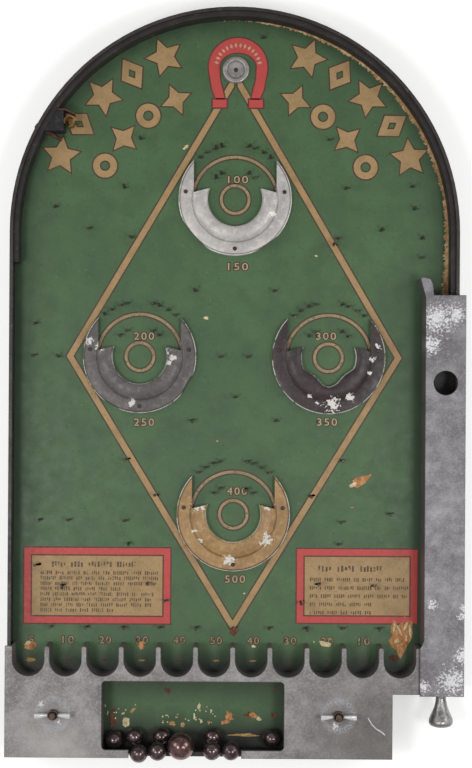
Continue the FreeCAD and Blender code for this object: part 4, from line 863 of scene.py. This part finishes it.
def star(points, outer, inner):
    """A star's corners, with one point straight up."""
    corners = []
    for k in range(2 * points):
        radius = outer if k % 2 == 0 else inner
        turn = math.pi / 2 + math.pi * k / points
        corners.append((radius * math.cos(turn), radius * math.sin(turn)))
    return corners


def diamond(half_width, half_height):
    return [(0, half_height), (-half_width, 0), (0, -half_height), (half_width, 0)]


def turned(outline, angle, radius):
    """An ornament moved out to a radius and turned so that its top looks away from the middle."""
    turn = math.radians(angle - 90)
    cos, sin = math.cos(turn), math.sin(turn)
    return [(x * cos - (y + radius) * sin, x * sin + (y + radius) * cos) for x, y in outline]


ORNAMENTS = {
    "star": (star(5, 15.2, 7.4), []),
    "small_star": (star(4, 12.4, 5.6), []),
    "lozenge": (diamond(9.8, 13.6), [diamond(3.3, 4.6)]),
    "ring": (round_outline(0, 0, 9.6, steps=40), [round_outline(0, 0, 4.2, steps=28)]),
}
ROWS = [(152.5, (24, 35, 46, 57, 68), ("star", "lozenge")),
        (117.5, (27.5, 40.5, 53.5, 66), ("ring", "small_star"))]
shapes, lines = [], []
for radius, angles, kinds in ROWS:
    for k, angle in enumerate(angles):
        body, holes = ORNAMENTS[kinds[k % 2]]
        around = [pushed_out(body, KEYLINE)] + [pushed_out(hole, -KEYLINE) for hole in holes]
        for side_angle in (angle, 180 - angle):
            shapes += [turned(outline, side_angle, radius) for outline in [body] + holes]
            lines += [turned(outline, side_angle, radius) for outline in around]
flat_print("print_ornaments_keyline", lines, brown_ink)
flat_print("print_ornaments", shapes, tan_ink, 1)
print("ornament outlines:", len(shapes))

# %% [markdown]
# A red horseshoe, an old sign of luck, is printed round the target cup. Its outer side is an arc and
# its inner side a flatter one, so that the top is the widest. Its legs are run over the lozenge.

# %% Horseshoe
SHOE_MIDDLE = (1.7, 133.6)
SHOE_OUTER, SHOE_INNER, SHOE_SQUEEZE = 23.4, 15.0, 0.78
SHOE_ENDS = (-14, 194)
SHOE_LEG = [(22.4, -10.2), (20.5, -18.2), (17.4, -25.9)]
SHOE_LEG_INNER = [(14.4, -10.2), (12.3, -18.2), (10.4, -25.9)]
SHOE_FOOT = (9.0, -32.2, 20.0, -25.9)
STUD, STUD_RADIUS, STUD_ANGLES = (1.1, 2.1), 17.6, range(12, 169, 12)


def horseshoe(grow=0.0):
    x, y = SHOE_MIDDLE
    outer = round_outline(x, y, SHOE_OUTER + grow, *SHOE_ENDS, 48)
    inner = round_outline(x, y, SHOE_INNER - grow, 180, 0, 36, SHOE_SQUEEZE)
    right_in = [(x + a - grow, y + b) for a, b in SHOE_LEG_INNER]
    right_out = [(x + a + grow, y + b) for a, b in SHOE_LEG[::-1]]
    left_out = [(2 * x - a, b) for a, b in right_out[::-1]]
    left_in = [(2 * x - a, b) for a, b in right_in[::-1]]
    return outer[1:-1] + left_out[1:] + left_in + inner + right_in + right_out[:-1]


feet = []
for side in (-1, 1):
    left, low, right, high = SHOE_FOOT
    ends = sorted((SHOE_MIDDLE[0] + side * left, SHOE_MIDDLE[0] + side * right))
    feet.append((ends[0], SHOE_MIDDLE[1] + low, ends[1], SHOE_MIDDLE[1] + high))
flat_print("print_horseshoe_keyline", [horseshoe(KEYLINE)], maroon_ink, 2)
flat_print("print_horseshoe_feet_keyline", [box_outline(*foot, KEYLINE) for foot in feet], maroon_ink, 3)
flat_print("print_horseshoe", [horseshoe()], red_ink, 3)
flat_print("print_horseshoe_feet", [box_outline(*foot) for foot in feet], red_ink, 4)
studs = []
for angle in STUD_ANGLES:
    studs.append([(x + SHOE_MIDDLE[0], y + SHOE_MIDDLE[1])
                  for x, y in turned(diamond(*STUD), angle, STUD_RADIUS)])
flat_print("print_horseshoe_studs", studs, pale_ink, 4)

# %% [markdown]
# Balls and damp have broken the enamel away, and the bare fibreboard shows: stringy, and of another
# colour wherever dirt, light or rust reached it.

# %% Bare fibreboard


def bare_board(name, base, dark, pale):
    """Broken fibreboard: matt and stringy, with paint dust in its hollows."""
    finish, tree, place = start_finish(name, roughness=0.85, centre=arch)
    colour = lay_over(tree, base, pale, patches(tree, place, 3.5, 0.54, 0.05, stretch=(1, 0.45, 1)), 0.8)
    colour = lay_over(tree, colour, dark, patches(tree, place, 1.8, 0.60, 0.05), 0.75)
    return end_finish(finish, place, colour, grain=(1.4, 0.12))


BARE = {
    "pale": bare_board("bare_board_pale", "#C9B98D", "#8A7550", "#E0D4B0"),
    "peach": bare_board("bare_board_peach", "#B0784C", "#744627", "#CB9A68"),
    "rust": bare_board("bare_board_rust", "#60392A", "#3A241A", "#7A4E36"),
    "tan": bare_board("bare_board_tan", "#A8834F", "#6B4F2C", "#C9A970"),
}

# %% [markdown]
# The board's largest breaks are at the right corner, under the right panel, and beside the lozenge.
# Each is listed as its place, its width and height, and its turn. Kinds that meet lie on layers of their
# own. A slit shows in most pockets, and the first of them is longer and higher.

# %% Breaks in the playfield
BREAKS = {
    "peach": [(101.5, -196.6, 21, 8, 32), (-161.4, -329.6, 12, 7, 0), (-72.8, -329.5, 5, 7, 0),
              (137.4, -303.2, 2.4, 4, 0)],
    "pale": [(129.4, -313.6, 1.9, 9, -8), (133.6, -316.0, 2.0, 10, 25), (138.4, -313.0, 2.2, 9, -20),
             (142.0, -316.6, 1.8, 10, 6), (131.4, -324.6, 5, 3, 20), (139.0, -322.6, 2, 6, 0),
             (95.5, -199.8, 7, 3.4, 20), (73.9, -327.2, 10, 4.2, -12), (-22.7, -67.1, 5, 2.6, 0),
             (65.0, -17.0, 2.6, 1.8, 0), (-39.6, 69.5, 7, 2.6, 42), (9.4, -287.2, 2.4, 1.6, 0),
             (-163.5, -327.8, 5, 3, 30), (17.0, -329.6, 4.6, 2.2, 0), (65.2, -325.6, 1.5, 1.5, 0)],
    "tan": [(-13.3, -165.5, 2.4, 1.6, 0), (95.0, -217.6, 3, 2, 0), (-71.6, -326.8, 3, 3, 0),
            (77.6, -323.4, 3, 2, 0)],
    "rust": [(1.2, -317.4, 7, 8, 0), (-73.4, -326.4, 6, 3, 20), (129.4, -338.2, 8, 5, 0)],
}
CORNER_BREAK = [(134.2, -339.1), (130.9, -331.8), (126.9, -329.1), (124.9, -323.8), (128.2, -319.8),
                (126.2, -316.5), (127.6, -310.5), (128.9, -307.8), (130.9, -309.1), (131.6, -313.1),
                (134.2, -310.5), (136.2, -308.5), (137.5, -311.1), (140.2, -307.8), (144.2, -308.5),
                (143.6, -313.1), (144.2, -318.5), (142.9, -323.8), (140.2, -327.1), (138.9, -330.5),
                (136.2, -335.8)]
LAYER_OF = {"rust": 3, "tan": 4, "peach": 5, "pale": 6}
TRAY_BREAKS = {
    "rust": [(-51.6, -365.4, 6, 5, 0), (-95.5, -389.2, 5, 12, 8), (14.5, -384.4, 10, 5, 0),
             (33.6, -384.4, 4, 6, 20), (-94.4, -381.0, 5, 3, 30), (34.4, -363.0, 2.6, 2.6, 0)],
    "pale": [(-84.7, -390.7, 7, 8, 20), (-26.4, -378.0, 2.8, 6.4, 0), (-16.7, -381.4, 2, 3.4, 0),
             (-87.0, -383.6, 3, 1.6, 30), (-24.6, -389.6, 2, 4, 0), (21.6, -387.4, 5, 3, -30),
             (-30.0, -386.0, 1.8, 6, 0)],
    "tan": [(10.1, -400.4, 27, 2.6, 0), (-79.8, -381.4, 6, 3, 40), (-47.6, -391.6, 5, 4, 0),
            (-39.6, -392.4, 4.4, 4.4, 0), (-18.6, -390.6, 2, 3, 0)],
    "peach": [(-2.2, -385.4, 6, 10, 24), (-6.0, -390.2, 8, 3.4, 10), (17.5, -385.0, 9, 4.4, -24)],
}
POCKET_SLITS = {"tan": (0, 3, 5, 6), "rust": (1, 2, 4, 7, 8, 9)}
SLIT_Y, FIRST_SLIT, SLIT = -341.2, (10, 4), (6.4, 1.5)
SPECK_WIDTH, SPECK_HEIGHT, SPECK_CORNERS = (0.8, 1.8), (0.8, 2.0), 7
SPECKS = {"left": (-90, -382, 26, 12, 12), "mid": (-46, -388, 24, 10, 14), "right": (-22, -384, 18, 16, 14)}

for where, table in (("board", BREAKS), ("tray", TRAY_BREAKS)):
    for kind, spots in table.items():
        outlines = [ragged(*spot) for spot in spots]
        if (where, kind) == ("board", "peach"):
            outlines.append(CORNER_BREAK)
        flat_print(f"bare_{where}_{kind}", outlines, BARE[kind], LAYER_OF[kind])
for kind, pockets in POCKET_SLITS.items():
    slits = [ragged(FIRST_POCKET + POCKET_STEP * k, SLIT_Y, *(SLIT if k else FIRST_SLIT), 0, k)
             for k in pockets]
    flat_print(f"bare_pocket_{kind}", slits, BARE[kind], 1)
specks = []
for x, y, width, height, count in SPECKS.values():
    draw = random.Random(count)
    for k in range(count):
        specks.append(ragged(x + draw.uniform(-0.5, 0.5) * width, y + draw.uniform(-0.5, 0.5) * height,
                             draw.uniform(*SPECK_WIDTH), draw.uniform(*SPECK_HEIGHT), 0, k, SPECK_CORNERS))
flat_print("bare_tray_specks", specks, BARE["pale"], LAYER_OF["pale"] + 1)
print("breaks:", sum(len(spots) for table in (BREAKS, TRAY_BREAKS) for spots in table.values()))

# %% [markdown]
# Round the foot of the arch's black liner its torn edge shows as a brown, crumbling line, and on the
# right its face has come away in a wide strip. It is one flat outline, out along the wall and back at a
# width that grows towards the right and wavers at random. Its upper points then rise towards the wall.

# %% Torn edge of the liner
LINER_INSET = 3.7
TORN_OUTER = case_radius / MM - LINER_INSET
TORN_START, TORN_END, TORN_STEPS = -19.5, 150.0, 460
HAIRLINE, SWELL, SWELL_AT = 0.6, 5.2, 28
FOOT_SWELL, FOOT_SPAN = 4.2, 26
TORN_RISE, TORN_SLOPE, TORN_LAYER = 1.6, 5, 6


def torn_width(angle):
    """The strip is a hairline on the left, and widest where it ends on the right."""
    foot = max(0.0, 1 - (angle - TORN_START) / FOOT_SPAN)
    return HAIRLINE + SWELL * max(0.0, math.cos(math.radians(angle - SWELL_AT))) + FOOT_SWELL * foot


def by_the_wall(angle, inward):
    """A point some millimetres inside the wall, which is straight below the arch's middle."""
    turn = math.radians(angle)
    if angle < 0:
        return TORN_OUTER - inward, TORN_OUTER * math.sin(turn)
    return (TORN_OUTER - inward) * math.cos(turn), (TORN_OUTER - inward) * math.sin(turn)


draw = random.Random(21)
turns = [TORN_START + (TORN_END - TORN_START) * k / TORN_STEPS for k in range(TORN_STEPS + 1)]
outline = [by_the_wall(angle, 0) for angle in turns]
inner = [by_the_wall(angle, torn_width(angle) * draw.uniform(0.72, 1.12) + draw.uniform(-0.3, 0.3))
         for angle in reversed(turns)]
torn_fibre = bare_board("torn_fibre", "#A37E54", "#4A3A28", "#CDAF84")
torn = flat_print("torn_liner_edge", [outline + inner], torn_fibre, TORN_LAYER)
for vertex in torn.data.vertices:
    from_arch = (vertex.co - arch).xy.length / MM
    if vertex.co.y < arch.y:
        from_arch = (vertex.co.x - arch.x) / MM
    if vertex.co.z > at(0, 0, INK * (TORN_LAYER + 0.5)).z:
        vertex.co.z += TORN_RISE * MM * max(0.0, min(1.0, 1 - (TORN_OUTER - from_arch) / TORN_SLOPE))
print("torn edge:", len(torn.data.vertices), "vertices")

# %% [markdown]
# Two of the thin cups have been knocked out of round. The frame's cup is copied and its doubles are
# merged, then the copy's points are pushed near a dent, most in the middle and not at all at its edge.

# %% Dented cups
SAME_POINT, SOFT_ANGLE = 0.00001, 34
DENTS = {
    "cup_right": [(-13.4, -17.2, 11, 2.1, 2.5), (14.6, -16.2, 11, -2.0, 2.3), (0, -21.8, 7, 0, -1.4)],
    "cup_upper": [(-33.6, -30.2, 20, 1.2, 1.0), (25.9, -37.0, 16, -0.6, 0.9)],
    "cup_left": [(39.1, -22.6, 12, -1.6, 0.8), (-22.6, -39.1, 10, 0.6, 0.9)],
}


def merged_copy(node_name, name):
    """A copy of a node's mesh, as a new piece with its doubles merged."""
    copy = bpy.data.objects.new(name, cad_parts[node_name].data.copy())
    bpy.context.collection.objects.link(copy)
    pick(copy)
    bpy.ops.object.mode_set(mode="EDIT")
    bpy.ops.mesh.select_all(action="SELECT")
    bpy.ops.mesh.remove_doubles(threshold=SAME_POINT)
    bpy.ops.mesh.customdata_custom_splitnormals_clear()
    bpy.ops.object.mode_set(mode="OBJECT")
    bpy.ops.object.shade_smooth_by_angle(angle=math.radians(SOFT_ANGLE))
    return copy


for cup_name, dents in DENTS.items():
    middle, radius = cup_middle(cup_name)
    cup = merged_copy(cup_name, f"dented_{cup_name}")
    for x, y, reach, move_x, move_y in dents:
        for vertex in cup.data.vertices:
            away = (vertex.co - middle - Vector((x, y, 0)) * MM).xy.length / (reach * MM)
            if away < 1:
                share = (1 - away * away) ** 2
                vertex.co += Vector((move_x, move_y, 0)) * MM * share
    finish_piece(cup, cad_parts[cup_name].material_slots[0].material)
    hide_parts(cup_name)
    print(cup.name, len(cup.data.vertices), "vertices")

# %% [markdown]
# A wing nut is a cast hub with two thin wings. The hub is an open cylinder that gets its wall from a
# modifier, so that it keeps its bore. A wing starts as a block: its outer face is spread and lifted,
# and a bevel and a subdivision round it off.

# %% Wing nuts
HUB_RADIUS, HUB_HEIGHT, HUB_BORE = 3.9, 6.4, 3.05
WING_START, WING_THICK, WING_HEIGHT, WING_FOOT = 3.7, 2.0, 5.4, 1.0
WING_FLARE, WING_SPREAD, WING_LIFT, TIP_GAP = 2.1, 1.15, 3.2, 0.4
HUB_EDGE, WING_EDGE = 0.4, 0.7
hub_finish = aged_metal("rusted_cast_nut_hub", "#5C4A44", "#382E2A", "#7C5A48", 0.35, 0.55, 1.4)
wing_finish = aged_metal("rubbed_nut_wings", "#DCDCDB", "#C4C4C3", "#A8A29B", 0.3, 0.36, 1.8, 0.64)


def round_edges(piece, width):
    """A bevel of two steps on every edge, its width in millimetres."""
    edge = piece.modifiers.new("edge", "BEVEL")
    edge.width = width * MM
    edge.segments = 2


def apply_all(piece):
    """Turn the piece's modifiers into mesh, in their order."""
    pick(piece)
    for modifier in list(piece.modifiers):
        bpy.ops.object.modifier_apply(modifier=modifier.name)


def nut_hub(name, foot):
    """An open cylinder on the nut's foot, given its wall inwards."""
    bpy.ops.object.select_all(action="DESELECT")
    bpy.ops.mesh.primitive_cylinder_add(
        vertices=40, radius=HUB_RADIUS * MM, depth=HUB_HEIGHT * MM, end_fill_type="NOTHING",
        location=foot + Vector((0, 0, HUB_HEIGHT / 2 * MM)))
    hub = bpy.context.object
    hub.name = name
    wall = hub.modifiers.new("wall", "SOLIDIFY")
    wall.thickness = (HUB_RADIUS - HUB_BORE) * MM
    wall.offset = -1
    round_edges(hub, HUB_EDGE)
    apply_all(hub)
    return hub


def nut_wing(name, foot, side, reach):
    """A block from the hub out to the reach, with its outer face spread and lifted."""
    length = reach - WING_START
    bpy.ops.object.select_all(action="DESELECT")
    bpy.ops.mesh.primitive_cube_add(
        size=1, scale=(length * MM, WING_THICK * MM, WING_HEIGHT * MM),
        location=foot + Vector((side * (WING_START + length / 2), 0, WING_HEIGHT / 2 + WING_FOOT)) * MM)
    wing = bpy.context.object
    wing.name = name
    bpy.ops.object.transform_apply(location=True, rotation=True, scale=True)
    bpy.ops.object.mode_set(mode="EDIT")
    bpy.ops.mesh.select_all(action="DESELECT")
    bpy.ops.object.mode_set(mode="OBJECT")
    outer = max(wing.data.polygons, key=lambda face: face.center.x * side)
    outer.select = True
    bpy.ops.object.mode_set(mode="EDIT")
    bpy.ops.transform.resize(value=(1, WING_FLARE, WING_SPREAD))
    bpy.ops.transform.translate(value=(0, 0, WING_LIFT * MM))
    bpy.ops.object.mode_set(mode="OBJECT")
    round_edges(wing, WING_EDGE)
    smooth = wing.modifiers.new("smooth", "SUBSURF")
    smooth.levels = smooth.render_levels = 2
    apply_all(wing)
    bpy.ops.object.shade_smooth()
    return wing


for nut_name in ("wing_nut_left", "wing_nut_right"):
    low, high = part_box(nut_name)
    foot = Vector(((low.x + high.x) / 2, (low.y + high.y) / 2, low.z))
    hub = finish_piece(nut_hub(f"{nut_name}_hub", foot), hub_finish, nut_name)
    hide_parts(nut_name)
    for side_name, side in (("a", -1), ("b", 1)):
        wing = nut_wing(f"{nut_name}_wing_{side_name}", foot, side, (high.x - foot.x) / MM - TIP_GAP)
        finish_piece(wing, wing_finish, nut_name)
        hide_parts(nut_name)
    print(nut_name, "at", [round(v / MM, 1) for v in foot])
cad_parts["apron_bolts"].material_slots[0].material = hub_finish

# %% [markdown]
# The plunger's spring closes up as the knob is pulled out. A merged copy of the frame's coil stands for
# it, with a mesh of its own.

# %% Spring of the plunger
coil = merged_copy("plunger_spring", "closing_spring")
finish_piece(coil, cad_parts["plunger_spring"].material_slots[0].material, "case")
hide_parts("plunger_spring")
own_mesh(coil)

# %% [markdown]
# One long scratch crosses the right of the apron: the oxide was scraped off and the metal shows.

# %% Scratch in the apron
apron_top = (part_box("apron_casting")[1].z - board_top) / MM
SCRATCH = [(106.8, -381.3), (110.0, -386.6), (113.4, -390.0), (117.0, -392.0), (120.4, -394.8)]
upper = [(x + 0.2, y + 0.5) for x, y in SCRATCH]
lower = [(x - 0.2, y - 0.3) for x, y in SCRATCH[::-1]]
scraped = aged_metal("scraped_aluminium", "#CFCFD2", "#B9B9BC", "#E4E4E6", 0.6, 0.35)
flat_print("apron_scratch", [upper + lower], scraped, 0, apron_top)
